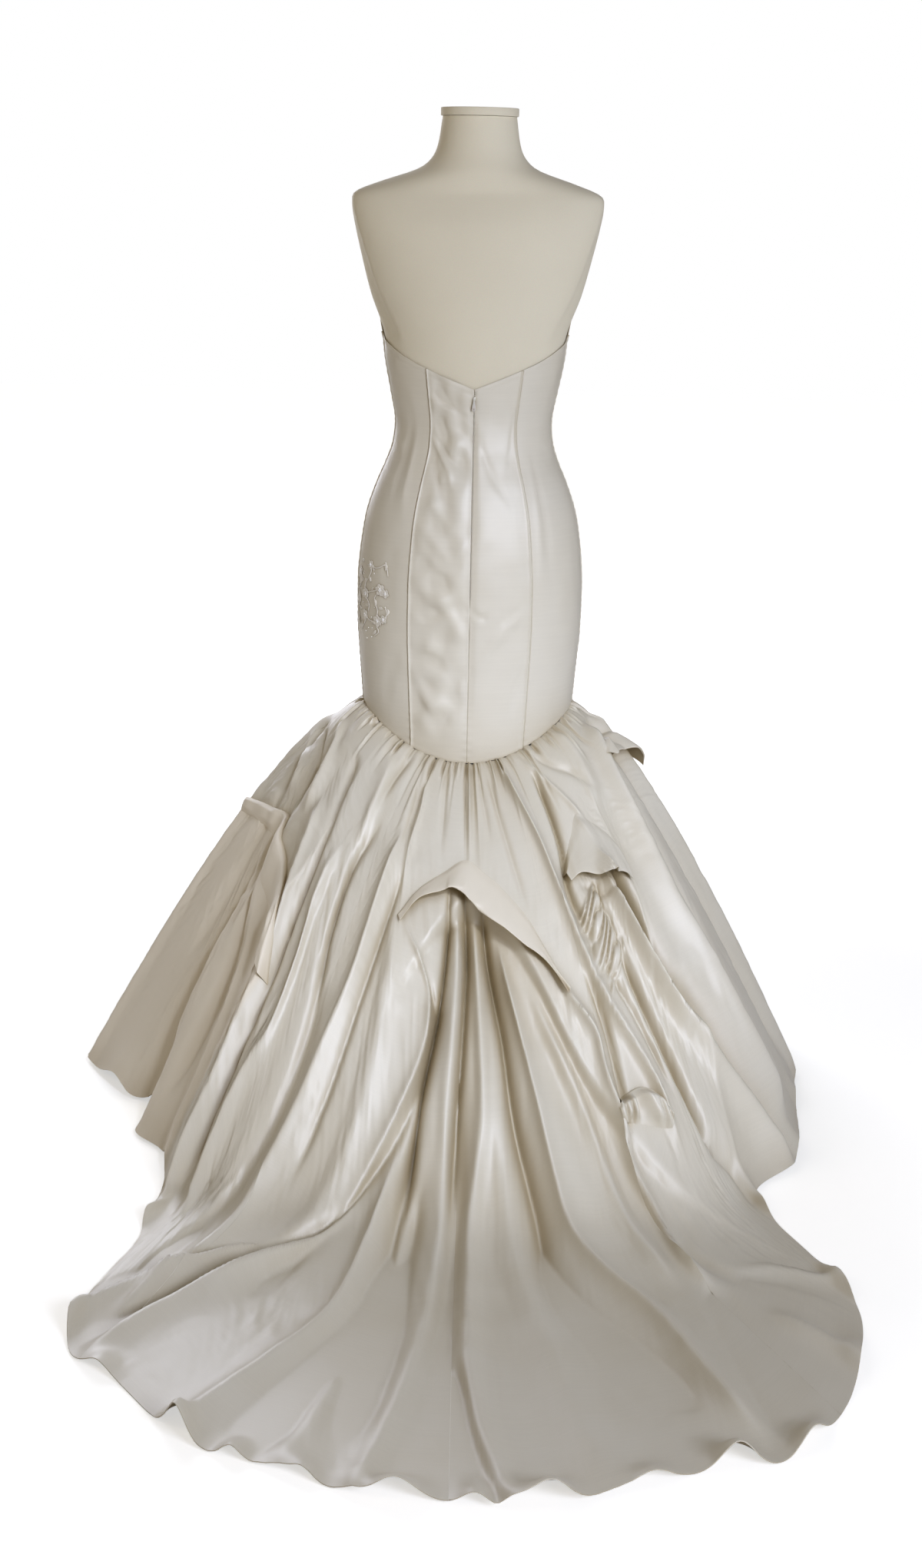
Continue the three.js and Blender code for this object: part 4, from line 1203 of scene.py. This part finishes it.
SIDE_PICK_UP = columns("""
sewnAngle sewnT freeAngle freeT  lift
      243 0.225       245  0.25 0.006
      249 0.185       251  0.25 0.014
      257  0.17       258  0.27  0.02
      265  0.21       264 0.315 0.019
      271  0.29       269  0.36 0.011
""")
LOWER_PICK_UP = columns("""
sewnAngle sewnT freeAngle freeT  lift
    202.6 0.494     202.8  0.51 0.002
    204.2 0.498     204.4 0.527 0.004
    206.3 0.517     206.1 0.552 0.006
      208 0.545     207.8  0.58 0.005
    209.3  0.58     208.9 0.594 0.002
""")
# Sections of a turned edge: shares of the way from sewn edge to free edge, and of the lift. A visor stands
# off at its free edge, and a folded-back layer at its sewn edge.
VISOR = columns("""
share rise
    0 -0.12
 0.02  0.00
 0.10  0.09
 0.40  0.42
 0.75  0.80
 0.95  0.98
    1  1.00
1.012  0.95
1.006  0.86
""")
FOLDED = columns("""
share rise
-0.03 -0.10
-0.04  0.30
-0.02  0.75
 0.03  0.98
 0.10  1.00
 0.35  0.70
 0.70  0.25
 0.92  0.02
    1 -0.05
""")
# Each pick-up's table, its section and how much of the cloth's dull reverse shows.
PICK_UPS = [
    ("pick_up_centre", CENTRE_PICK_UP, VISOR, 0.75),
    ("pick_up_right", RIGHT_PICK_UP, VISOR, 0.0),
    ("pick_up_left", LEFT_PICK_UP, FOLDED, 1.0),
    ("pick_up_side", SIDE_PICK_UP, VISOR, 0.2),
    ("pick_up_lower", LOWER_PICK_UP, FOLDED, 0.0),
]
PICK_UP_WALL = 0.0011
PICK_UP_CLEARANCE = 0.0012
FREE_EDGE_SUNK = 0.0012  # how far a folded layer's free edge lies in the cloth under it


def pick_up_points(table, section):
    """Points of a turned edge, carried over the folds that lie under it."""
    number = np.arange(len(table["lift"]), dtype=float)
    along = np.linspace(0, number[-1], int(number[-1]) * 12 + 1)
    steps = np.arange(len(section["share"]), dtype=float)
    place = np.linspace(0, steps[-1], 45)
    share = curve(steps, section["share"], place)
    rise = curve(steps, section["rise"], place)
    read = {key: curve(number, table[key], along)[None, :] for key in table}
    share, rise = share[:, None], rise[:, None]
    angle = read["sewnAngle"] + (read["freeAngle"] - read["sewnAngle"]) * share
    t = read["sewnT"] + (read["freeT"] - read["sewnT"]) * share
    cover = np.full(angle.shape, -1.0)
    for step in (-1.6, -0.8, 0, 0.8, 1.6):
        for drop in (-0.012, 0, 0.012):
            cover = np.maximum(cover, skirt_height(angle + step, t + drop, fine=False)[0])
    face = skirt_height(angle, t)[0]
    blend = smoothstep(share, 0.0, 0.25)
    if section is FOLDED:
        blend = blend * (1 - smoothstep(share, 0.6, 0.97))
    crease = 0.0008 * wrinkles(along[None, :] * 0.03 + 0 * share, share * 0.05, 0.05, 31) * blend
    sunk = FREE_EDGE_SUNK * smoothstep(share, 0.85, 1.0) * (section is FOLDED)
    height = face + (cover + PICK_UP_CLEARANCE - face) * blend + read["lift"] * rise + crease - sunk
    return skirt_base(angle, t) + outwards(angle, t) * height[..., None]


class GOWN_OT_pick_ups(bpy.types.Operator):
    """Builds the five turned-back pick-ups"""

    bl_idname = "gown.pick_ups"
    bl_label = "Pick-ups"

    def execute(self, context):
        for name, table, section, back in PICK_UPS:
            points = pick_up_points(table, section)
            points[..., 2] = np.maximum(points[..., 2], SKIRT_WALL)
            wide = np.linalg.norm(points[:, 1:] - points[:, :-1], axis=-1).mean(0).cumsum()
            across = np.linalg.norm(points[1:] - points[:-1], axis=-1).mean(1).cumsum()
            u, v = np.meshgrid(np.append(0, wide), np.append(0, across))
            marks = np.full(u.shape, back)
            places, length = np.stack([u, v], -1), float(across[-1])
            add_cloth(name, points, places, satin(), PICK_UP_WALL, marks)
        return {"FINISHED"}


class GOWN_OT_zip(bpy.types.Operator):
    """Builds the zip: two rows of teeth, the slider and its pull tab"""

    bl_idname = "gown.zip"
    bl_label = "Zip"

    def execute(self, context):
        trim = context.scene.gown_trim
        metal = material_of("enamelled_zip_metal", enamelled_metal, trim.zip_metal, 0.34, 0.4)
        self.add_teeth(context, metal, trim.tooth_pitch)
        self.add_slider(context, metal)
        self.add_tab(context, metal)
        return {"FINISHED"}

    def add_teeth(self, context, metal, pitch):
        start_clean()
        bpy.ops.mesh.primitive_cube_add(size=1, location=(0, 0, 0))
        tooth = context.object
        tooth.scale = (0.0019, 0.0009, pitch * 0.5)
        place_in_mesh(tooth)
        bpy.ops.object.mode_set(mode="EDIT")
        bpy.ops.mesh.select_all(action="SELECT")
        bpy.ops.mesh.bevel(offset=0.00025, segments=1)
        bpy.ops.object.mode_set(mode="OBJECT")
        row = {"use_relative_offset": False, "use_constant_offset": True}
        count = int((ZIP_TOP - ZIP_END) / pitch)
        shape_by(tooth, "ARRAY", count=count, constant_offset_displace=(0, 0, -pitch), **row)
        shape_by(tooth, "ARRAY", count=2, constant_offset_displace=(0.0021, 0, pitch / 2), **row)
        places = vertex_places(tooth)
        z = places[:, 2] + ZIP_TOP
        wide = 1 + 1.6 * smoothstep(z, SLIDER_Z + 0.003, ZIP_TOP)
        places[:, 0] = (places[:, 0] - 0.00105) * wide
        places[:, 1] += body_point(np.full(len(z), 180.0), z)[:, 1] + 0.00025
        places[:, 2] = z
        move_vertices(tooth, places)
        finish_hard(tooth, "zip_teeth", metal, GOWN)

    def add_slider(self, context, metal):
        """A block whose two cheeks rise beside the pull tab's neck."""
        low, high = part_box("zip_slider")
        high[1] -= SLIDER_CHEEK
        middle = [(low[k] + high[k]) / 2 for k in range(3)]
        start_clean()
        bpy.ops.mesh.primitive_cube_add(size=1, location=middle)
        slider = context.object
        slider.scale = [high[k] - low[k] for k in range(3)]
        place_in_mesh(slider)
        bpy.ops.object.mode_set(mode="EDIT")
        select_faces(slider, lambda face: face.normal.y > 0.5)
        bpy.ops.mesh.subdivide(number_cuts=4)
        inner = (high[0] - low[0]) / 2 - 0.001
        select_faces(slider, lambda face: face.normal.y > 0.5 and abs(face.calc_center_median().x) > inner)
        bpy.ops.mesh.extrude_region_move(TRANSFORM_OT_translate={"value": (0, SLIDER_CHEEK, 0)})
        bpy.ops.object.mode_set(mode="OBJECT")
        finish_hard(slider, "zip_slider_body", metal, GOWN, "zip_slider", 0.00035)

    def add_tab(self, context, metal):
        """A flat tab with a narrow neck, a rounded end and a hole."""
        low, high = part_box("zip_pull")
        thick = high[1] - low[1]
        start_clean()
        bpy.ops.mesh.primitive_grid_add(x_subdivisions=12, y_subdivisions=40, size=2)
        tab = context.object
        places = vertex_places(tab)
        down = (1 - places[:, 1]) / 2
        z = high[2] + (low[2] - high[2]) * down
        neck, full = 0.00115, (high[0] - low[0]) / 2
        half = neck + (full - neck) * smoothstep(down, 0.26, 0.7)
        end = np.clip((z - low[2]) / full, 0, 1)
        half = half * np.sqrt(np.maximum(1 - (1 - end) ** 2, 0.02))
        front = np.full(len(z), (low[1] + high[1]) / 2 + thick / 2)
        move_vertices(tab, np.stack([places[:, 0] * half, front, z], -1))
        hole = Vector((0, front[0], low[2] + full * 1.15))

        def inside_hole(face):
            off = face.calc_center_median() - hole
            return math.hypot(off.x, off.z * 0.8) < 0.0011

        bpy.ops.object.mode_set(mode="EDIT")
        select_faces(tab, inside_hole)
        bpy.ops.mesh.delete(type="FACE")
        bpy.ops.mesh.select_all(action="SELECT")
        bpy.ops.mesh.normals_make_consistent(inside=False)
        bpy.ops.object.mode_set(mode="OBJECT")
        if tab.data.polygons[0].normal.y < 0:
            tab.data.flip_normals()
        shape_by(tab, "SOLIDIFY", thickness=thick, offset=-1)
        finish_hard(tab, "zip_pull_tab", metal, PULL, "zip_pull", 0.00025)


# Lace: each flower's angle, height, radius in millimetres and turn, then each leaf's angle, height, length
# in millimetres and turn. The petals open a fifth past the radius.
LACE_MIDDLE = (110.0, 0.8)
PETAL_REACH = 1.2
FLOWERS = columns("""
angle z     radius turn
 128   0.822   8   10
 132   0.817   6   50
 126   0.772   8   30
 131   0.776   6    0
 113   0.811   8   20
 118   0.858   6   45
 113   0.777   7   60
 103   0.800   7   35
 104   0.844   6   10
 101   0.764   6   75
""")
LEAVES = columns("""
angle z     length turn
 131   0.864  11   250
 122   0.853  10    20
 116   0.838  11   200
 112   0.826  10   100
 123   0.806  12   240
 127   0.792  10   160
 117   0.796  11   330
 120   0.768  10   170
 124   0.757  11   300
 109   0.756  12    50
 106   0.828  11   140
 106   0.782  10    30
  99   0.822  10   230
  98   0.790  11    80
 134   0.794  10   260
 108   0.864  10   320
""")
# Cords of the lace: angles and heights along each one.
CORDS = """
116.2 .863 119 .850 116 .837 112 .825 113.5 .807 117.5 .796 116.8 .784
131 .867 132.8 .854 133.5 .845
125 .763 126.8 .755 123 .747
111 .780 113.5 .770 107.2 .752
132 .797 133.5 .786 132 .776
128 .822 123 .806 126 .790 125 .772
104 .845 107 .83 103 .815 106 .80 101 .785 103 .762
118 .860 124 .855 131 .863
113 .811 120 .817 128 .822
113 .777 119 .770 126 .772
98 .832 96 .812 99 .790
"""


class GOWN_OT_lace(bpy.types.Operator):
    """Builds the lace motif on the left hip: corded flowers, leaves and stems, with small beads"""

    bl_idname = "gown.lace"
    bl_label = "Lace"

    def execute(self, context):
        trim = context.scene.gown_trim
        # The lace's second colour is the painted shade between its thread ridges.
        lace = material_of("corded_cotton_lace", cotton_lace, trim.lace, "#E6E0D2")
        made = bmesh.new()
        self.centres = []
        for row in zip(*FLOWERS.values()):
            self.add_flower(made, *row)
        for row in zip(*LEAVES.values()):
            self.add_leaf(made, *row)
        for row in number_rows(CORDS):
            self.add_cord(made, np.array(row).reshape(-1, 2))
        mesh = bpy.data.meshes.new("hip_lace")
        made.to_mesh(mesh)
        made.free()
        mesh.shade_smooth()
        motif = add_object("hip_lace", mesh, lace)
        shape_by(motif, "SOLIDIFY", thickness=0.0008, offset=-1)
        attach(motif, GOWN)
        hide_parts("hip_applique")
        self.add_beads(context, trim)
        return {"FINISHED"}

    def surface(self, angle, z, x, y, lift):
        """A point of the hip, this far sideways and up from an angle and a height, and off the satin."""
        at, up = angle - x / WAIST_DEGREE, z + y
        satin_height = bodice_height(at, up, bpy.context.scene.gown_cloth.wrinkle)
        return body_point(at, up, -(0.0004 + lift + np.maximum(satin_height, -0.0008)))

    def add_rows(self, made, points):
        """Faces between rows of points."""
        rows, count = points.shape[:2]
        corners = [made.verts.new(point) for point in points.reshape(-1, 3).tolist()]
        for i in range(rows - 1):
            for j in range(count - 1):
                k = i * count + j
                made.faces.new([corners[k], corners[k + count], corners[k + count + 1], corners[k + 1]])

    def add_flower(self, made, angle, z, radius, turn):
        radius = radius * PETAL_REACH / 1000
        petals = 5 + int(radius > 0.0095)
        self.centres.append((angle, z, radius))
        for k in range(petals):
            heading = math.radians(turn + 360 * k / petals)
            along, side = np.meshgrid(np.linspace(0.16, 1, 7), np.linspace(-1, 1, 6), indexing="ij")
            half = 0.42 * np.sin(np.pi * np.clip(along * 0.78 + 0.1, 0, 1)) * radius
            x = along * radius * math.cos(heading) - side * half * math.sin(heading)
            y = along * radius * math.sin(heading) + side * half * math.cos(heading)
            lift = 0.0005 + 0.0010 * along * (1 - 0.5 * side**2) + 0.0004 * side**2
            self.add_rows(made, self.surface(angle, z, x, y, lift)[:, ::-1])

    def add_leaf(self, made, angle, z, length, turn):
        length = length / 1000
        heading = math.radians(turn)
        along, side = np.meshgrid(np.linspace(0.02, 1, 9), np.linspace(-1, 1, 5), indexing="ij")
        half = 0.27 * np.sin(np.pi * along) ** 0.8 * length + 0.0003
        bend = 0.2 * length * along**2
        x = along * length * math.cos(heading) - (side * half + bend) * math.sin(heading)
        y = along * length * math.sin(heading) + (side * half + bend) * math.cos(heading)
        lift = 0.0005 + 0.0006 * (1 - np.abs(side)) + 0.0002 * np.cos(along * 25)
        self.add_rows(made, self.surface(angle, z, x, y, lift)[:, ::-1])

    def add_cord(self, made, path):
        number = np.arange(len(path), dtype=float)
        at = np.linspace(0, number[-1], len(path) * 6)
        angle, z = curve(number, path[:, 0], at), curve(number, path[:, 1], at)
        x, y = np.gradient(-angle * WAIST_DEGREE), np.gradient(z)
        size = np.hypot(x, y)
        side = np.array([[-0.0011, -0.0004, 0.0004, 0.0011]])
        over_x, over_y = -(y / size)[:, None] * side, (x / size)[:, None] * side
        lift = 0.0006 + 0.0004 * (np.abs(side) < 0.0005) + 0 * over_x
        self.add_rows(made, self.surface(angle[:, None], z[:, None], over_x, over_y, lift)[:, ::-1])

    def add_beads(self, context, trim):
        """Beads in the flowers' middles and scattered between them."""
        rng = np.random.default_rng(7)
        places = []
        for angle, z, radius in self.centres:
            for k in range(5):
                far = 0 if k == 0 else radius * 0.2
                x, y = far * math.cos(k * math.tau / 4), far * math.sin(k * math.tau / 4)
                places.append((self.surface(np.array(angle), np.array(z), x, y, 0.0013), 1.0))
        for _ in range(34):
            x, y = rng.uniform(-0.052, 0.052), rng.uniform(-0.06, 0.06)
            if (x / 0.056) ** 2 + (y / 0.066) ** 2 < 0.95:
                places.append((self.surface(*np.array(LACE_MIDDLE), x, y, 0.0006), rng.uniform(0.5, 0.8)))
        start_clean()
        bpy.ops.mesh.primitive_ico_sphere_add(subdivisions=2, radius=trim.bead_width / 2)
        bead = context.object
        made = bmesh.new()
        for place, size in places:
            one = bead.data.copy()
            one.transform(Matrix.Translation(Vector(place)) @ Matrix.Diagonal((size, size, size, 1)))
            made.from_mesh(one)
            bpy.data.meshes.remove(one)
        made.to_mesh(bead.data)
        made.free()
        material = material_of("pearl_glass_bead", glass_bead, trim.bead)
        finish_hard(bead, "lace_beads", material, GOWN, angle=180)


# The edge of the form's flat side plate: heights and degrees from the centre front.
PLATE = columns("""
   z angle
1.15   138
1.20   127
1.28   115
1.36   107
1.45    99
""")


PLATE_DEGREE = 0.0032  # about how far one degree round the shoulders is
TORSO_ENDS = (0.752, 1.5325)
TORSO_ROWS = 150


class GOWN_OT_dress_form(bpy.types.Operator):
    """Builds the dress form's torso and neck cap, and gives the model's pole and base their enamelled steel
    """

    bl_idname = "gown.dress_form"
    bl_label = "Dress form"

    def execute(self, context):
        sizes = context.scene.gown_form
        linen = material_of("form_linen_jersey", form_linen, sizes.linen, sizes.linen_shade)
        steel = material_of("black_enamelled_steel", enamelled_metal, sizes.steel, 0.45, 0.5)
        self.add_torso(context, sizes, linen)
        self.add_cap(context, linen)
        for name in ("form_pole", "form_base"):
            for slot in bpy.data.objects[name].material_slots:
                slot.material = steel
        return {"FINISHED"}

    def add_torso(self, context, sizes, linen):
        start_clean()
        bpy.ops.mesh.primitive_grid_add(x_subdivisions=sizes.around, y_subdivisions=TORSO_ROWS, size=2)
        torso = context.object
        places = vertex_places(torso)
        angle = (places[:, 0] + 1) * 180
        low, high = TORSO_ENDS
        z = low + (high - low) * (places[:, 1] + 1) / 2
        covered = 1 - smoothstep(z, 1.32, 1.40)
        hidden = 0.0020 * (1 - smoothstep(z, 1.06, 1.12))
        points = body_point(angle, z, (BODICE_WALL + FORM_CLEARANCE) * covered + hidden, BUST["form_share"])
        # The cover is pinned round the flat side plate, which leaves a soft ridge down from the shoulder.
        off = (mirrored(angle) - curve(PLATE["z"], PLATE["angle"], z)) * PLATE_DEGREE
        run = smoothstep(z, 1.185, 1.235) * (1 - smoothstep(z, 1.39, 1.44))
        plate = -0.0030 * smoothstep(-off, -0.004, 0.016) * (1 - smoothstep(-off, 0.03, 0.09))
        ridge = 0.0008 * np.exp(-((off / 0.006) ** 2))
        points = points + away(angle) * ((plate + ridge) * run)[:, None]
        end = smoothstep(z, low, low + 0.012)
        points[:, :2] *= (0.86 + 0.14 * np.sqrt(end))[:, None]
        move_vertices(torso, points)
        bpy.ops.object.mode_set(mode="EDIT")
        bpy.ops.mesh.select_all(action="SELECT")
        bpy.ops.mesh.remove_doubles(threshold=0.00001)
        bpy.ops.mesh.select_all(action="DESELECT")
        bpy.ops.mesh.select_mode(type="EDGE")
        bpy.ops.mesh.select_non_manifold()
        bpy.ops.mesh.edge_face_add()
        bpy.ops.mesh.select_all(action="SELECT")
        bpy.ops.mesh.normals_make_consistent(inside=False)
        bpy.ops.object.mode_set(mode="OBJECT")
        finish_hard(torso, "linen_torso", linen, GOWN, "form_torso", angle=40)

    def add_cap(self, context, linen):
        low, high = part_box("form_neck_cap")
        radius = (high[0] - low[0]) / 2
        start_clean()
        bpy.ops.mesh.primitive_cylinder_add(
            vertices=96, radius=radius, depth=high[2] - low[2], location=(0, 0, (low[2] + high[2]) / 2)
        )
        cap = context.object
        place_in_mesh(cap)
        bpy.ops.object.mode_set(mode="EDIT")
        select_faces(cap, lambda face: face.normal.z > 0.9)
        bpy.ops.mesh.inset(thickness=0.004, depth=0)
        bpy.ops.mesh.inset(thickness=0.010, depth=0.0004)
        select_faces(cap, lambda face: face.normal.z < -0.9)
        bpy.ops.mesh.inset(thickness=0.003, depth=0)
        bpy.ops.object.mode_set(mode="OBJECT")
        finish_hard(cap, "linen_neck_cap", linen, GOWN, "form_neck_cap", 0.0012, 3)


# The photo's camera: its place, how far it looks down and how far it is turned, in degrees.
CAMERA_PLACE = (0.0075, 3.43, 1.44)
CAMERA_DOWN = 15.5
CAMERA_ROLL = 1.2
BACK_LIGHT_SHARE = 6  # of the fill light's power, for the sides that the photo hides


class GOWN_OT_studio(bpy.types.Operator):
    """Sets the pale floor, the soft lights and the camera"""

    bl_idname = "gown.studio"
    bl_label = "Studio"

    def execute(self, context):
        sizes = context.scene.gown_studio
        # Painted light: the floor paper glows for the camera only, 0.6 near the gown rising to 1.02 far off.
        paper = material_of("matt_studio_paper", painted_backdrop, sizes.paper, 0.6, 1.02)
        start_clean()
        bpy.ops.mesh.primitive_plane_add(size=24, location=(0, 0, -0.0004))
        floor = context.object
        place_in_mesh(floor)
        floor.name = floor.data.name = "studio_floor"
        floor.data.materials.append(paper)
        back_power = sizes.fill_power * BACK_LIGHT_SHARE
        for name, power, size, place, aim, colour in (
            ("key", sizes.key_power, 1.6, (-2.1, 3.7, 2.0), (0, 0.1, 0.85), "#E7EDFF"),
            ("fill", sizes.fill_power, 2.2, (2.7, 1.7, 2.9), (0.35, 0.3, 0.3), "#FFF0DC"),
            ("back", back_power, 2.4, (1.3, -3.3, 1.9), (0, 0, 0.7), "#EEF1FF"),
        ):
            self.add_light(name, "AREA", power, place, aim, colour, size=size)
        # A soft round pool of light over the upper skirt.
        pool = {"spot_size": math.radians(22), "spot_blend": 1.0, "shadow_soft_size": 0.2}
        place, aim = (-1.1, 3.0, 2.9), (0.02, 0.38, 0.46)
        self.add_light("skirt_pool", "SPOT", sizes.spot_power, place, aim, "#E9EFFF", **pool)
        self.set_world(context)
        data = bpy.data.cameras.new("photo_camera")
        data.lens = sizes.lens
        data.sensor_width = 36
        camera = bpy.data.objects.new("photo_camera", data)
        context.scene.collection.objects.link(camera)
        facing = Euler((math.radians(90 - CAMERA_DOWN), 0, math.pi)).to_matrix()
        turn = facing @ Matrix.Rotation(math.radians(CAMERA_ROLL), 3, "Z")
        camera.matrix_world = Matrix.Translation(CAMERA_PLACE) @ turn.to_4x4()
        context.scene.camera = camera
        context.scene.view_settings.view_transform = "Standard"
        return {"FINISHED"}

    def add_light(self, name, kind, power, place, aim, colour, **settings):
        data = bpy.data.lights.new(name, kind)
        data.energy = power
        data.color = linear(colour)[:3]
        for key, value in settings.items():
            setattr(data, key, value)
        light = bpy.data.objects.new(name, data)
        light.location = place
        light.rotation_euler = (Vector(aim) - Vector(place)).to_track_quat("-Z", "Y").to_euler()
        bpy.context.scene.collection.objects.link(light)

    def set_world(self, context):
        world = bpy.data.worlds.new("studio")
        world.use_nodes = True
        tree = world.node_tree
        surround = tree.nodes["Background"]
        surround.inputs["Color"].default_value = linear("#F7E6C8")
        heading = add_node(tree, "ShaderNodeTexCoord").outputs["Generated"]
        height = add_node(tree, "ShaderNodeSeparateXYZ", links={"Vector": heading}).outputs["Z"]
        overhead = add_node(
            tree,
            "ShaderNodeMapRange",
            links={"Value": height, "From Min": 0.0, "From Max": 0.6, "To Min": 0.36, "To Max": 0.08},
        )
        tree.links.new(overhead.outputs["Result"], surround.inputs["Strength"])
        plain = add_node(tree, "ShaderNodeBackground", links={"Color": linear("#FFFFFF"), "Strength": 1.0})
        seen = add_node(tree, "ShaderNodeLightPath").outputs["Is Camera Ray"]
        sides = {0: seen, 1: surround.outputs[0], 2: plain.outputs[0]}
        both = add_node(tree, "ShaderNodeMixShader", links=sides)
        tree.links.new(both.outputs[0], tree.nodes["World Output"].inputs["Surface"])
        context.scene.world = world


class GOWN_PT_panel(bpy.types.Panel):
    """Lists the gown's pieces, with the sizes and colours that can be changed"""

    bl_label = "Mermaid gown"
    bl_idname = "GOWN_PT_panel"
    bl_space_type = "VIEW_3D"
    bl_region_type = "UI"
    bl_category = "Gown"

    def draw(self, context):
        scene = context.scene
        for kind in PIECES:
            self.layout.operator(kind.bl_idname)
        for settings in (scene.gown_cloth, scene.gown_trim, scene.gown_form, scene.gown_studio):
            box = self.layout.box()
            for name in settings.__annotations__:
                box.prop(settings, name)


PIECES = (
    GOWN_OT_dress_form,
    GOWN_OT_bodice,
    GOWN_OT_zip,
    GOWN_OT_lace,
    GOWN_OT_skirt,
    GOWN_OT_pick_ups,
    GOWN_OT_studio,
)
SETTINGS = {
    "gown_cloth": GownClothSettings,
    "gown_trim": GownTrimSettings,
    "gown_form": GownFormSettings,
    "gown_studio": GownStudioSettings,
}


def register():
    for kind in (*SETTINGS.values(), *PIECES, GOWN_PT_panel):
        bpy.utils.register_class(kind)
    for name, kind in SETTINGS.items():
        setattr(bpy.types.Scene, name, bpy.props.PointerProperty(type=kind))


def unregister():
    for name in SETTINGS:
        delattr(bpy.types.Scene, name)
    for kind in reversed((*SETTINGS.values(), *PIECES, GOWN_PT_panel)):
        bpy.utils.unregister_class(kind)


def main():
    register()
    bpy.ops.gown.dress_form()
    bpy.ops.gown.bodice()
    bpy.ops.gown.zip()
    bpy.ops.gown.lace()
    bpy.ops.gown.skirt()
    bpy.ops.gown.pick_ups()
    bpy.ops.gown.studio()


if __name__ == "__main__":
    main()
